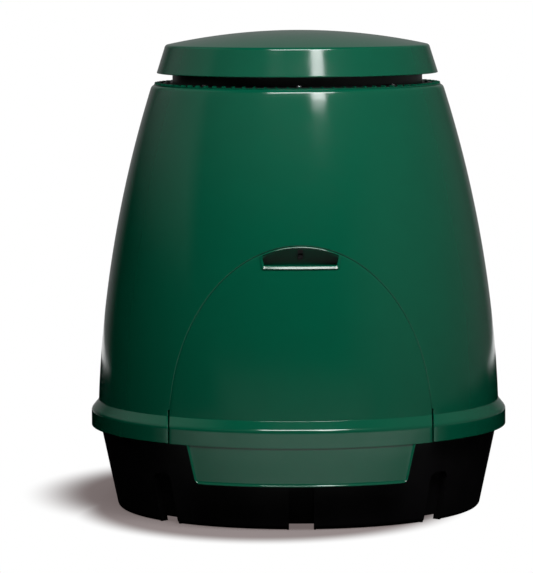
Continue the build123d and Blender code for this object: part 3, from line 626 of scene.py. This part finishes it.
def moulded_plastic(name, colour, mottle, roughness, spread, wave, grain):
    """Injection-moulded plastic: mottled colour, slow sink waves and a fine tool grain."""
    material = new_material(name)
    if material is None:
        return bpy.data.materials[name]
    tree = material.node_tree
    where = add(tree, "ShaderNodeTexCoord")
    # Sink waves of about 90 mm, or 11 to a metre, bend the long reflections as ribs behind a wall do
    waves = add(tree, "ShaderNodeTexNoise", {"Scale": 11.0, "Detail": 1.0}, {"Vector": (where, "Object")})
    # Tool grain of about 1.5 mm, or 650 to a metre, drawn coarser than the real 0.1 mm so that it shows
    fine = add(tree, "ShaderNodeTexNoise", {"Scale": 650.0, "Detail": 2.0}, {"Vector": (where, "Object")})
    # Clouds of about 40 mm in the colour and the gloss, where the melt flowed together
    cloud = add(tree, "ShaderNodeTexNoise", {"Scale": 24.0, "Detail": 6.0}, {"Vector": (where, "Object")})
    tint = add(tree, "ShaderNodeMix", {"data_type": "RGBA"}, {"Factor": (cloud, "Fac")})
    tint.inputs["A"].default_value = (*colour, 1)
    tint.inputs["B"].default_value = (*[c * mottle for c in colour], 1)
    rough = add(
        tree, "ShaderNodeMapRange",
        {"From Min": 0.3, "From Max": 0.7, "To Min": roughness, "To Max": roughness + spread},
        {"Value": (cloud, "Fac")},
    )
    sink = add(tree, "ShaderNodeBump", {"Strength": 1.0, "Distance": wave}, {"Height": (waves, "Fac")})
    tool = add(
        tree, "ShaderNodeBump", {"Strength": 1.0, "Distance": grain},
        {"Height": (fine, "Fac"), "Normal": (sink, "Normal")},
    )
    shader = add(
        tree, "ShaderNodeBsdfPrincipled", {"IOR": 1.5},
        {"Base Color": (tint, "Result"), "Roughness": (rough, "Result"), "Normal": (tool, "Normal")},
    )
    add(tree, "ShaderNodeOutputMaterial", {}, {"Surface": (shader, "BSDF")})
    return material


def green_polypropylene():
    """Glossy moulded polypropylene: dark, wet-looking green with soft-edged reflections."""
    return moulded_plastic(
        "green_polypropylene", colours().green, mottle=0.9, roughness=0.1, spread=0.05,
        wave=0.35 * MM, grain=0.004 * MM,
    )


def black_polypropylene():
    """Recycled black polypropylene: near black, a duller sheen than the shell."""
    return moulded_plastic(
        "black_recycled_polypropylene", colours().black, mottle=0.7, roughness=0.3, spread=0.1,
        wave=0.4 * MM, grain=0.02 * MM,
    )


def zinc_plated_steel():
    """Zinc-plated steel: pale grey with fine turned scratches."""
    material = new_material("zinc_plated_steel")
    if material is None:
        return bpy.data.materials["zinc_plated_steel"]
    tree = material.node_tree
    where = add(tree, "ShaderNodeTexCoord")
    # Scratches about 1 mm apart and 11 mm long, drawn coarser than real ones so that they show
    stretch = add(tree, "ShaderNodeMapping", {"Scale": (900.0, 900.0, 90.0)}, {"Vector": (where, "Object")})
    scratch = add(tree, "ShaderNodeTexNoise", {"Scale": 1.0, "Detail": 3.0}, {"Vector": (stretch, "Vector")})
    rough = add(
        tree, "ShaderNodeMapRange", {"To Min": 0.25, "To Max": 0.45}, {"Value": (scratch, "Fac")}
    )
    relief = add(tree, "ShaderNodeBump", {"Distance": 0.02 * MM}, {"Height": (scratch, "Fac")})
    shader = add(
        tree, "ShaderNodeBsdfPrincipled",
        {"Base Color": (*colours().steel, 1), "Metallic": 1.0},
        {"Roughness": (rough, "Result"), "Normal": (relief, "Normal")},
    )
    add(tree, "ShaderNodeOutputMaterial", {}, {"Surface": (shader, "BSDF")})
    return material


def paper_sweep():
    """White paper sweep: matt, white to the camera beyond the bin's shadow, painted darker round the bin as
    painted shadow, with painted light and shade in the bin's gloss.
    """
    material = new_material("paper_sweep")
    tree = material.node_tree
    where = add(tree, "ShaderNodeTexCoord")
    ray = add(tree, "ShaderNodeLightPath")
    edges = []
    for shift, scale, reach, end in SHADOW_FIELDS:
        place = add(
            tree, "ShaderNodeMapping", {"Location": shift, "Scale": scale}, {"Vector": (where, "Object")}
        )
        length = add(tree, "ShaderNodeVectorMath", {"operation": "LENGTH"}, {0: (place, "Vector")})
        fade = add(
            tree, "ShaderNodeMapRange",
            {"interpolation_type": "SMOOTHSTEP", "From Min": reach, "From Max": end},
            {"Value": (length, "Value")},
        )
        edges.append(fade)
    edge = add(
        tree, "ShaderNodeMath", {"operation": "MINIMUM"}, {0: (edges[0], "Result"), 1: (edges[1], "Result")}
    )
    beyond = add(
        tree, "ShaderNodeMath", {"operation": "MULTIPLY"}, {0: (edge, "Value"), 1: (ray, "Is Camera Ray")}
    )
    # Painted shade keeps the floor near and behind the bin dark in its gloss and bounce, and a painted lit
    # band lies in front
    far = add(tree, "ShaderNodeVectorMath", {"operation": "LENGTH"}, {0: (where, "Object")})
    share = add(tree, "ShaderNodeMapRange", {"From Max": FLOOR_FAR}, {"Value": (far, "Value")})
    band = add(tree, "ShaderNodeValToRGB", {}, {"Fac": (share, "Result")})
    stops = band.color_ramp.elements
    while len(stops) < len(FLOOR_GLOSS_PAINT):
        stops.new(1.0)
    for stop, (position, level) in zip(stops, FLOOR_GLOSS_PAINT):
        stop.position = position
        stop.color = (level, level, level, 1)
    split = add(tree, "ShaderNodeSeparateXYZ", {}, {"Vector": (where, "Object")})
    ahead = add(
        tree, "ShaderNodeMapRange",
        {"From Min": FLOOR_BACK[0], "From Max": FLOOR_BACK[1], "To Min": 1.0, "To Max": 0.0},
        {"Value": (split, "Y")},
    )
    painted_gloss_light = add(tree, "ShaderNodeMath", {"operation": "MULTIPLY"}, {0: (band, "Color"), 1: (ahead, "Result")})
    tone = add(
        tree, "ShaderNodeMix", {"data_type": "RGBA"}, {"Factor": (ray, "Is Camera Ray"), "A": (painted_gloss_light, "Value")}
    )
    tone.inputs["B"].default_value = (*colours().floor, 1)
    matt = add(tree, "ShaderNodeBsdfDiffuse", {}, {"Color": (tone, "Result")})
    # A glow in the shade colour, seen by the camera only, sets the darkest tone of the painted shadow round
    # the bin
    shadow_tone_glow = add(
        tree, "ShaderNodeEmission", {"Color": (*colours().shade, 1)}, {"Strength": (ray, "Is Camera Ray")}
    )
    white = add(tree, "ShaderNodeEmission", {"Color": (1, 1, 1, 1), "Strength": 1.0})
    near = add(tree, "ShaderNodeAddShader", {}, {0: (matt, "BSDF"), 1: (shadow_tone_glow, "Emission")})
    mix = add(
        tree, "ShaderNodeMixShader", {}, {0: (beyond, "Value"), 1: (near, "Shader"), 2: (white, "Emission")}
    )
    add(tree, "ShaderNodeOutputMaterial", {}, {"Surface": (mix, "Shader")})
    return material


def flag_cloth():
    """Dark cloth round the set: mostly black, with grey fields that glow though they are no lamp and paint
    the long reflections and a little fill light.
    """
    material = new_material("flag_cloth")
    tree = material.node_tree
    where = add(tree, "ShaderNodeTexCoord")
    split = add(tree, "ShaderNodeSeparateXYZ", {}, {"Vector": (where, "Object")})

    def least(stops):
        """Least of a field's ramps, as a node and its output."""
        field = None
        for axis, start, end, level in stops:
            node = add(
                tree, "ShaderNodeMapRange",
                {"interpolation_type": "SMOOTHSTEP", "From Min": start, "From Max": end, "To Max": level},
                {"Value": (split, axis)},
            )
            pair = (node, "Result")
            if field:
                pair = (add(tree, "ShaderNodeMath", {"operation": "MINIMUM"}, {0: field, 1: pair}), "Value")
            field = pair
        return field

    total = least(TENT_GLOW_FIELDS[0])
    for stops in TENT_GLOW_FIELDS[1:]:
        total = (add(tree, "ShaderNodeMath", {"operation": "MAXIMUM"}, {0: total, 1: least(stops)}), "Value")
    glow = add(tree, "ShaderNodeEmission", {"Color": (1, 1, 1, 1)}, {"Strength": total})
    add(tree, "ShaderNodeOutputMaterial", {}, {"Surface": (glow, "Emission")})
    return material


def white_room(fill):
    """World that is white to the camera and in gloss, and lights matt surfaces only a little."""
    world = bpy.data.worlds.new("white_room")
    world.use_nodes = True
    tree = world.node_tree
    tree.nodes.clear()
    ray = add(tree, "ShaderNodeLightPath")
    clamped = {"operation": "ADD", "use_clamp": True}
    seen = add(tree, "ShaderNodeMath", clamped, {0: (ray, "Is Camera Ray"), 1: (ray, "Is Glossy Ray")})
    through = add(tree, "ShaderNodeMath", clamped, {0: (seen, "Value"), 1: (ray, "Is Transmission Ray")})
    level = add(tree, "ShaderNodeMapRange", {"To Min": fill, "To Max": 1.0}, {"Value": (through, "Value")})
    back = add(tree, "ShaderNodeBackground", {"Color": (1, 1, 1, 1)}, {"Strength": (level, "Result")})
    add(tree, "ShaderNodeOutputWorld", {}, {"Surface": (back, "Background")})
    return world


# The finish of each of the record's material slots
FINISHES = {
    "green_plastic": green_polypropylene,
    "black_plastic": black_polypropylene,
    "steel": zinc_plated_steel,
}


# Shell and door


def shoulder_line():
    """Radius and height points of the band and its shoulder, from the foot up."""
    s = sizes()
    radius = high("body_shell").x
    base = low("body_shell").z
    bend = base + s.band_height
    foot = bell()[0]
    above = Vector((bell_radius(foot.y + s.shoulder_round), foot.y + s.shoulder_round))
    line = rounded(
        [(radius, base), (radius, bend), tuple(foot), tuple(above)],
        [0, s.shoulder_round, s.shoulder_round / 6, 0],
    )
    below = [Vector((radius, base + (line[1].y - base) * step / 3)) for step in range(3)]
    return braced(below + line[1:], s.edge_round)


def top_line():
    """Radius and height points from the bell's top round to its mouth."""
    s = sizes()
    top = bell()[1]
    below = top.y - 2 * s.top_round
    line = rounded(
        [(bell_radius(below), below), tuple(top), (s.mouth_radius, top.y)], [0, s.top_round, 0]
    )
    inwards = [line[-1] + (line[-2] - line[-1]) * step / 4 for step in (3, 2, 1, 0)]
    return line[:-1] + inwards


def at(radius, height, x):
    """Point of the front at a width, on a circle of a radius."""
    return Vector((x, -math.sqrt(radius**2 - x**2), height))


def round_at(radius, height, turn):
    """Point on a circle of a radius, at an angle from the front."""
    return Vector((radius * math.sin(turn), -radius * math.cos(turn), height))


def follow(line, share):
    """Entry of a list that lies at a share from 0 to 1 along it."""
    return line[round(share * (len(line) - 1))]


def arch_bar(name, first, last, near, far, outside, inside):
    """Bar that follows the arch between two angles, between two insets from the bell."""
    steps = 48
    rings = []
    for step in range(steps + 1):
        turn = first + (last - first) * step / steps
        ring = []
        for grow, inset in ((outside, near), (outside, far), (inside, far), (inside, near)):
            x, height = arch(turn, grow)
            ring.append(at(bell_radius(height, inset), height, x))
        rings.append(ring)
    return lofted(name, rings)


def cross_rib(name, height, half):
    """Level rib on the back of the door."""
    s = sizes()
    steps = 32
    near = s.wall * 0.9
    far = s.wall + s.rim_depth
    corners = ((0, near), (s.rib_thickness, near), (s.rib_thickness, far), (0, far))
    rings = []
    for step in range(steps + 1):
        x = half * (2 * step / steps - 1)
        rings.append([at(bell_radius(height + up, inset), height + up, x) for up, inset in corners])
    return lofted(name, rings)


def grip_outline(side, bottom, drop, corner):
    """The grip's outline from the front, grown at its sides and bottom, with its arch set down."""
    s = sizes()
    top = high("grip_cup").z
    half_top = s.grip_half + side
    half_foot = half_top - s.grip_taper
    foot = top - s.grip_height - bottom
    head = arch(math.asin(half_top / high("door_panel").x))[1]
    edge = half_top - s.grip_taper * drop / (head - foot)
    rise = top - head
    arc = (edge**2 + rise**2) / (2 * rise)
    shares = [step / 12 - 1 for step in range(25)]
    crown = [(edge * share, top - drop - arc + math.sqrt(arc**2 - (edge * share) ** 2)) for share in shares]
    sill = [(-half_foot * share, foot) for share in shares]
    ends = (crown[0], crown[-1], sill[0], sill[-1])

    def flank(start, end):
        return [tuple(a + (b - a) * step / 4 for a, b in zip(start, end)) for step in (1, 2, 3)]

    points = [*crown, *flank(crown[-1], sill[0]), *sill, *flank(sill[-1], crown[0])]
    return rounded(points, [corner if point in ends else 0 for point in points], 4)


def on_bell(outline, proud, low=None):
    """Lay an outline on the bell's front, standing out by a height, and by another along its foot."""
    foot = min(height for _, height in outline)
    ring = []
    for x, height in outline:
        share = min(1, (height - foot) / (3 * sizes().grip_bead))
        out = proud if low is None else low + (proud - low) * share
        ring.append(at(bell_radius(height) + out, height, x))
    return ring


def upright(outline, y):
    """Lay an outline on an upright plane."""
    return [Vector((x, y, height)) for x, height in outline]


def hinge_eye(side):
    """Hinge eye on its arm behind the apron, bored for the pin."""
    s = sizes()
    steps = 12
    pin = (low("hinge_pin_left") + high("hinge_pin_left")) / 2
    middle = side * abs(pin.x)
    rings = []
    for x in (middle - s.eye_width / 2, middle, middle + s.eye_width / 2):
        front = -math.sqrt((high("body_shell").x - s.apron_sink - s.wall / 2) ** 2 - x**2)
        ring = []
        for step in range(steps + 1):
            turn = math.pi * step / steps
            ring.append(
                Vector((x, pin.y + s.eye_radius * math.sin(turn), pin.z + s.eye_radius * math.cos(turn)))
            )
        ring += [Vector((x, front, pin.z - s.eye_radius)), Vector((x, front, pin.z + s.eye_radius))]
        rings.append(ring)
    eye = eased(lofted("hinge_eye", rings), s.edge_fine)
    cut(eye, cross_rod("bore", (middle, pin.y, pin.z), s.pin_radius, 2 * s.eye_width))
    return eye


def apron_sheet():
    """The apron's face: a trapezoid with a raised edge, rounded lower corners and a sunk panel."""
    s = sizes()
    radius = high("body_shell").x
    foot = low("door_panel").z
    tall = low("body_shell").z - foot
    corner = s.apron_corner
    margins = [s.apron_rim * step / 6 for step in range(7)]
    rows = [0, margins[1] / 3, *margins[1:], (s.apron_rim + corner) / 2, corner]
    rows += [corner + (tall - corner) * step / 12 for step in range(1, 13)] + [tall + s.wall / 2]
    inner = 60
    columns = inner + 2 * len(margins)

    def half(up):
        straight = s.apron_foot_half + (s.apron_head_half - s.apron_foot_half) * up / tall
        if up >= corner:
            return straight
        return straight - corner + math.sqrt(corner**2 - (corner - up) ** 2)

    def place(u, v):
        up = follow(rows, v)
        column = round(u * columns)
        aside = min(column, columns - column)
        if aside < len(margins):
            x = (half(up) - margins[aside]) * (-1 if column < columns / 2 else 1)
            margin = min(up, margins[aside])
        else:
            share = (column - len(margins) + 1) / (inner + 2)
            x = (half(up) - margins[-1]) * (2 * share - 1)
            margin = up
        # The face rises in a hollow curve to the narrow ridge along the edge
        slope = min(1, max(0, (margin - margins[1]) / (margins[-1] - margins[1])))
        rise = 0 if up > tall else s.apron_sink * (1 - slope) ** 2
        return at(radius - s.apron_sink + rise, foot + up, x)

    return laid_grid("apron", columns, len(rows) - 1, place)


class BIN_OT_body_shell(bpy.types.Operator):
    """Model the bell-shaped shell with its band, its doorway and its top edge"""

    bl_idname = "bin.body_shell"
    bl_label = "Body Shell"

    def execute(self, context):
        s = sizes()
        band = shoulder_line()
        cap = top_line()
        start, finish = band[-1], cap[0]
        slot = high("door_panel").x + s.slot_width
        spread = math.radians(FRONT_SPREAD)
        # Angles at which the doorway's sides meet the shoulder, from the arch's crown and from the front
        foot_turn = arch_foot(start.y, s.door_gap)
        gate_turn = math.asin(arch(foot_turn, s.door_gap)[0] / start.x)

        def behind(first, share):
            """Angle at a share of the way round the back, between edges at one angle from the front."""
            return first + (2 * math.pi - 2 * first) * share

        # The front of the shell fans out from the arch to the top edge
        def over_arch(u, v):
            x, height = arch(foot_turn * (2 * u - 1), s.door_gap)
            turn = math.asin(x / bell_radius(height))
            z = height + (finish.y - height) * v
            return round_at(bell_radius(z), z, turn + (spread * (2 * u - 1) - turn) * v)

        def round_back(u, v):
            turn = behind(gate_turn, u)
            z = start.y + (finish.y - start.y) * v
            return round_at(bell_radius(z), z, turn + (behind(spread, u) - turn) * v)

        def over_front_top(u, v):
            return round_at(*follow(cap, v), spread * (2 * u - 1))

        def over_back_top(u, v):
            return round_at(*follow(cap, v), behind(spread, u))

        def round_band(u, v):
            point = follow(band, v)
            first = gate_turn if point == start else math.asin(slot / point.x)
            return round_at(*point, behind(first, u))

        sheets = [
            laid_grid("front", FRONT_COLUMNS, BELL_ROWS, over_arch),
            laid_grid("back", BACK_COLUMNS, BELL_ROWS, round_back),
            laid_grid("front_cap", FRONT_COLUMNS, len(cap) - 1, over_front_top),
            laid_grid("back_cap", BACK_COLUMNS, len(cap) - 1, over_back_top),
            laid_grid("skirt", BACK_COLUMNS, len(band) - 1, round_band),
        ]
        shell = eased(walled(weld(joined("shell", sheets))), s.edge_round, 60, 3)
        # The rebate that the door closes on runs down both sides of the doorway, clear of the grip
        head_side = math.asin((s.grip_half + s.frame_inside) / (high("door_panel").x + s.frame_outside))
        foot_side = arch_foot(start.y + PLAY, -s.frame_inside)
        frames = []
        for side in (-1, 1):
            bar = arch_bar(
                "frame", side * head_side, side * foot_side, s.wall * 0.97, s.wall + s.rib_thickness,
                s.frame_outside, -s.frame_inside,
            )
            frames.append(eased(bar, s.edge_fine))
        shell = joined("bell_shell", [shell, *frames])
        smooth(shell)
        finish_piece(shell, "root", "green_plastic", "body_shell")
        return {"FINISHED"}


class BIN_OT_door(bpy.types.Operator):
    """Model the arched door with its piece of the band and its apron"""

    bl_idname = "bin.door"
    bl_label = "Door"

    def execute(self, context):
        s = sizes()
        half = high("door_panel").x
        band = shoulder_line()
        start = band[-1]
        foot_turn = arch_foot(start.y)
        edge = arch(foot_turn)[0]

        def fan(u, v):
            x, height = arch(foot_turn * (2 * u - 1))
            z = start.y + (height - start.y) * v
            return at(bell_radius(z), z, x * v)

        def low_band(u, v):
            point = follow(band, v)
            reach = edge if point == start else half
            return at(*point, reach * (2 * u - 1))

        leaf = laid_grid("leaf", DOOR_COLUMNS, DOOR_ROWS, fan)
        strip = laid_grid("strip", 2 * DOOR_ROWS, len(band) - 1, low_band)
        door = walled(weld(joined("door", [leaf, strip])))
        hole = grip_outline(PLAY, PLAY, -s.wall, 0.5 * MM)
        face = -bell_radius(high("door_panel").z)
        cut(door, lofted("hole", [upright(hole, face - s.grip_depth), upright(hole, face + s.grip_depth)]))
        eased(door, s.door_round, 60, 3)
        apron = eased(walled(apron_sheet()), s.apron_rim / 7)
        # A rim runs down both sides of the door's back, clear of the grip, with ribs across between
        rim_head = math.asin((s.grip_half + s.rim_depth) / (half - s.rim_inset))
        rim_foot = arch_foot(start.y, -s.rim_inset - s.rib_thickness)
        bars = [
            arch_bar(
                "rim", side * rim_head, side * rim_foot, s.wall * 0.9, s.wall + s.rim_depth,
                -s.rim_inset, -s.rim_inset - s.rib_thickness,
            )
            for side in (-1, 1)
        ]
        spring = arch(math.pi / 2)[1]
        for step in range(3):
            height = start.y + s.rib_first - s.shoulder_round + s.rib_pitch * step
            share = (height + s.rib_thickness - spring) / (arch(0, -s.rim_inset)[1] - spring)
            reach = (half - s.rim_inset - s.rib_thickness) * math.sqrt(1 - share**2)
            bars.append(cross_rib("rib", height, reach))
        bars = [eased(bar, s.edge_fine) for bar in bars]
        eyes = [hinge_eye(side) for side in (-1, 1)]
        door = joined("arched_door", [door, apron, *bars, *eyes])
        smooth(door)
        finish_piece(door, "door", "green_plastic", "door_panel")
        return {"FINISHED"}


class BIN_OT_grip(bpy.types.Operator):
    """Model the grip pocket with the bead round it and the rails for the bolt"""

    bl_idname = "bin.grip"
    bl_label = "Grip Pocket"

    def execute(self, context):
        s = sizes()
        wall = s.grip_wall
        soft = s.grip_proud / 4
        face = -bell_radius(high("grip_cup").z)
        ledge = face + s.grip_land - wall
        back = face + s.grip_depth
        inside = grip_outline(-wall, -s.grip_lip, wall, 2 * MM)
        deep = grip_outline(-wall, -s.grip_lip, s.grip_step + wall, 1.2 * MM)
        outside = grip_outline(0, 0, 0, 2 * MM)
        roof = grip_outline(0, 0, s.grip_step, 1.2 * MM)
        skirt = grip_outline(s.grip_bead, s.grip_bead, soft, 4 * MM)
        brow = grip_outline(0.85 * s.grip_bead, 0.8 * s.grip_bead, 1.05 * soft, 3.7 * MM)
        # Rows of the bead from its brow inwards, as side, bottom, drop and corner radius
        rows = (
            (0.5 * s.grip_bead, 0.3 * s.grip_bead, 0.5 * wall, 3.3 * MM),
            (-0.2 * wall, -0.1 * s.grip_lip, 0.6 * wall, 2.8 * MM),
            (-0.5 * wall, -0.6 * s.grip_lip, 0.75 * wall, 2.4 * MM),
            (-0.85 * wall, -0.86 * s.grip_lip, 0.92 * wall, 2.1 * MM),
        )

        # The bead and the lower lip lean back so that they show their faces to the light above
        def head(drop):
            return s.grip_proud - (rows[-1][2] - drop) * LIP_LEAN

        def lip(bottom):
            return s.grip_proud - (rows[0][1] - bottom) * LIP_LEAN

        rings = [
            upright(roof, back + wall),
            upright(roof, ledge),
            upright(outside, ledge),
            on_bell(outside, -PLAY),
            on_bell(skirt, -PLAY),
            on_bell(skirt, s.grip_proud - 2 * soft),
            on_bell(brow, head(1.05 * soft)),
            *[on_bell(grip_outline(*row), head(row[2]), lip(row[1])) for row in rows],
            on_bell(inside, s.grip_proud - 2 * soft, lip(-s.grip_lip) - soft / 2),
            upright(inside, ledge),
            upright(deep, ledge),
            upright(deep, back),
        ]
        cup = lofted("pocket", rings)
        width, height, rise = s.knob_slot
        foot = high("grip_cup").z - s.grip_height + s.grip_lip + rise
        slot = prism("slot", (-width / 2, back - wall, foot), (width / 2, back + 3 * wall, foot + height))
        cut(cup, slot)
        # Rails behind the pocket that hold the bolt in and let it slide
        bolt_low, bolt_high = low("door_bolt"), high("door_bolt")
        rail_top = bolt_high.z - 4 * MM
        rear = bolt_high.y + 0.5 * MM
        rails = []
        for side in (-1, 1):
            inner = side * (bolt_high.x + 0.4 * MM)
            outer = inner + side * 1.6 * wall
            for x, front in ((inner, back + wall * 0.9), (side * (bolt_high.x - wall), rear)):
                rails.append(prism("rail", (x, front, bolt_low.z), (outer, rear + wall, rail_top)))
        cup = joined("grip_pocket", [cup, *[eased(rail, s.edge_fine) for rail in rails]])
        smooth(cup, 40)
        finish_piece(cup, "door", "green_plastic", "grip_cup")
        return {"FINISHED"}


class BIN_OT_lid(bpy.types.Operator):
    """Turn the domed lid with its leaning rim"""

    bl_idname = "bin.lid"
    bl_label = "Lid"

    def execute(self, context):
        s = sizes()
        radius, _, top = high("lid_shell")
        base = low("lid_shell").z
        corner = Vector((radius - s.lid_lean, base + s.lid_skirt))
        rise = top - corner.y
        arc = (corner.x**2 + rise**2) / (2 * rise)

        def dome(x, inset=0.0):
            return top - arc + math.sqrt((arc - inset) ** 2 - x**2)

        rows = 40
        shares = [corner.x * step / rows for step in range(rows)]
        outer = [Vector((x, dome(x))) for x in shares]
        inner_corner = Vector((corner.x - s.wall * 1.05, dome(corner.x - s.wall * 1.05, s.wall)))
        inner = [Vector((x, dome(x, s.wall))) for x in shares if x < inner_corner.x - s.wall]
        rim = rounded(
            [tuple(outer[-1]), tuple(corner), (radius, base), (radius - s.wall * 1.05, base),
             tuple(inner_corner), tuple(inner[-1])],
            [0, s.lid_round, 1.2 * MM, 1.2 * MM, 2 * MM, 0],
        )
        outline = outer[:-1] + braced(rim, s.edge_round) + inner[::-1][1:]
        lid = turned("domed_lid", outline)
        smooth(lid)
        finish_piece(lid, "lid", "green_plastic", "lid_shell")
        return {"FINISHED"}


class BIN_OT_inner_parts(bpy.types.Operator):
    """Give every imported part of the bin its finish"""

    bl_idname = "bin.inner_parts"
    bl_label = "Inner Parts"

    def execute(self, context):
        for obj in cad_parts.values():
            slot = obj.data.materials[0].name.split(".")[0]
            obj.data.materials[0] = FINISHES[slot]()
        return {"FINISHED"}


class BIN_OT_studio(bpy.types.Operator):
    """Set the floor, the lights and the camera"""

    bl_idname = "bin.studio"
    bl_label = "Studio"

    def execute(self, context):
        scene = context.scene
        scene.view_settings.view_transform = "Standard"
        light = scene.bin_light
        width, depth, near = FLOOR_SIZE
        floor = laid_grid("floor", 8, 8, lambda u, v: Vector((width * (u - 0.5), depth * v + near, 0)))
        floor.data.materials.append(paper_sweep())

        # A tent of dark cloth round and over the set keeps the long reflections dark; its grey fields glow,
        # though they are no lamp, and paint grey reflections and a little fill light on the bin
        def flag(u, v):
            radius = TENT_RADIUS * min(1, 4 - 4 * v)
            return round_at(radius, TENT_HEIGHT * min(1, 4 * v / 3), 2 * math.pi * u)

        flags = laid_grid("flags", 48, 8, flag)
        flags.data.materials.append(flag_cloth())
        flags.visible_camera = False
        flags.visible_shadow = False
        key = softbox("key", *KEY_LAMP, light.key)
        key.visible_glossy = False
        softbox("overhead", *OVERHEAD_LAMP, light.overhead)
        softbox("strip", *STRIP_LAMP, light.strip)
        scene.world = white_room(light.fill)
        scene.camera = photo_camera(light.camera_turn)
        return {"FINISHED"}


class BIN_PT_panel(bpy.types.Panel):
    """Buttons for each group of pieces"""

    bl_label = "Compost Bin"
    bl_idname = "BIN_PT_panel"
    bl_space_type = "VIEW_3D"
    bl_region_type = "UI"
    bl_category = "Compost Bin"

    def draw(self, context):
        for operator in OPERATORS:
            self.layout.operator(operator.bl_idname)


OPERATORS = (BIN_OT_body_shell, BIN_OT_door, BIN_OT_grip, BIN_OT_lid, BIN_OT_inner_parts, BIN_OT_studio)
CLASSES = (BinSizes, BinColours, BinLight, *OPERATORS, BIN_PT_panel)


def register():
    for cls in CLASSES:
        bpy.utils.register_class(cls)
    bpy.types.Scene.bin_sizes = bpy.props.PointerProperty(type=BinSizes)
    bpy.types.Scene.bin_colours = bpy.props.PointerProperty(type=BinColours)
    bpy.types.Scene.bin_light = bpy.props.PointerProperty(type=BinLight)


def unregister():
    del bpy.types.Scene.bin_light
    del bpy.types.Scene.bin_colours
    del bpy.types.Scene.bin_sizes
    for cls in reversed(CLASSES):
        bpy.utils.unregister_class(cls)


def main():
    register()
    bpy.ops.bin.inner_parts()
    bpy.ops.bin.body_shell()
    bpy.ops.bin.door()
    bpy.ops.bin.grip()
    bpy.ops.bin.lid()
    bpy.ops.bin.studio()


if __name__ == "__main__":
    main()
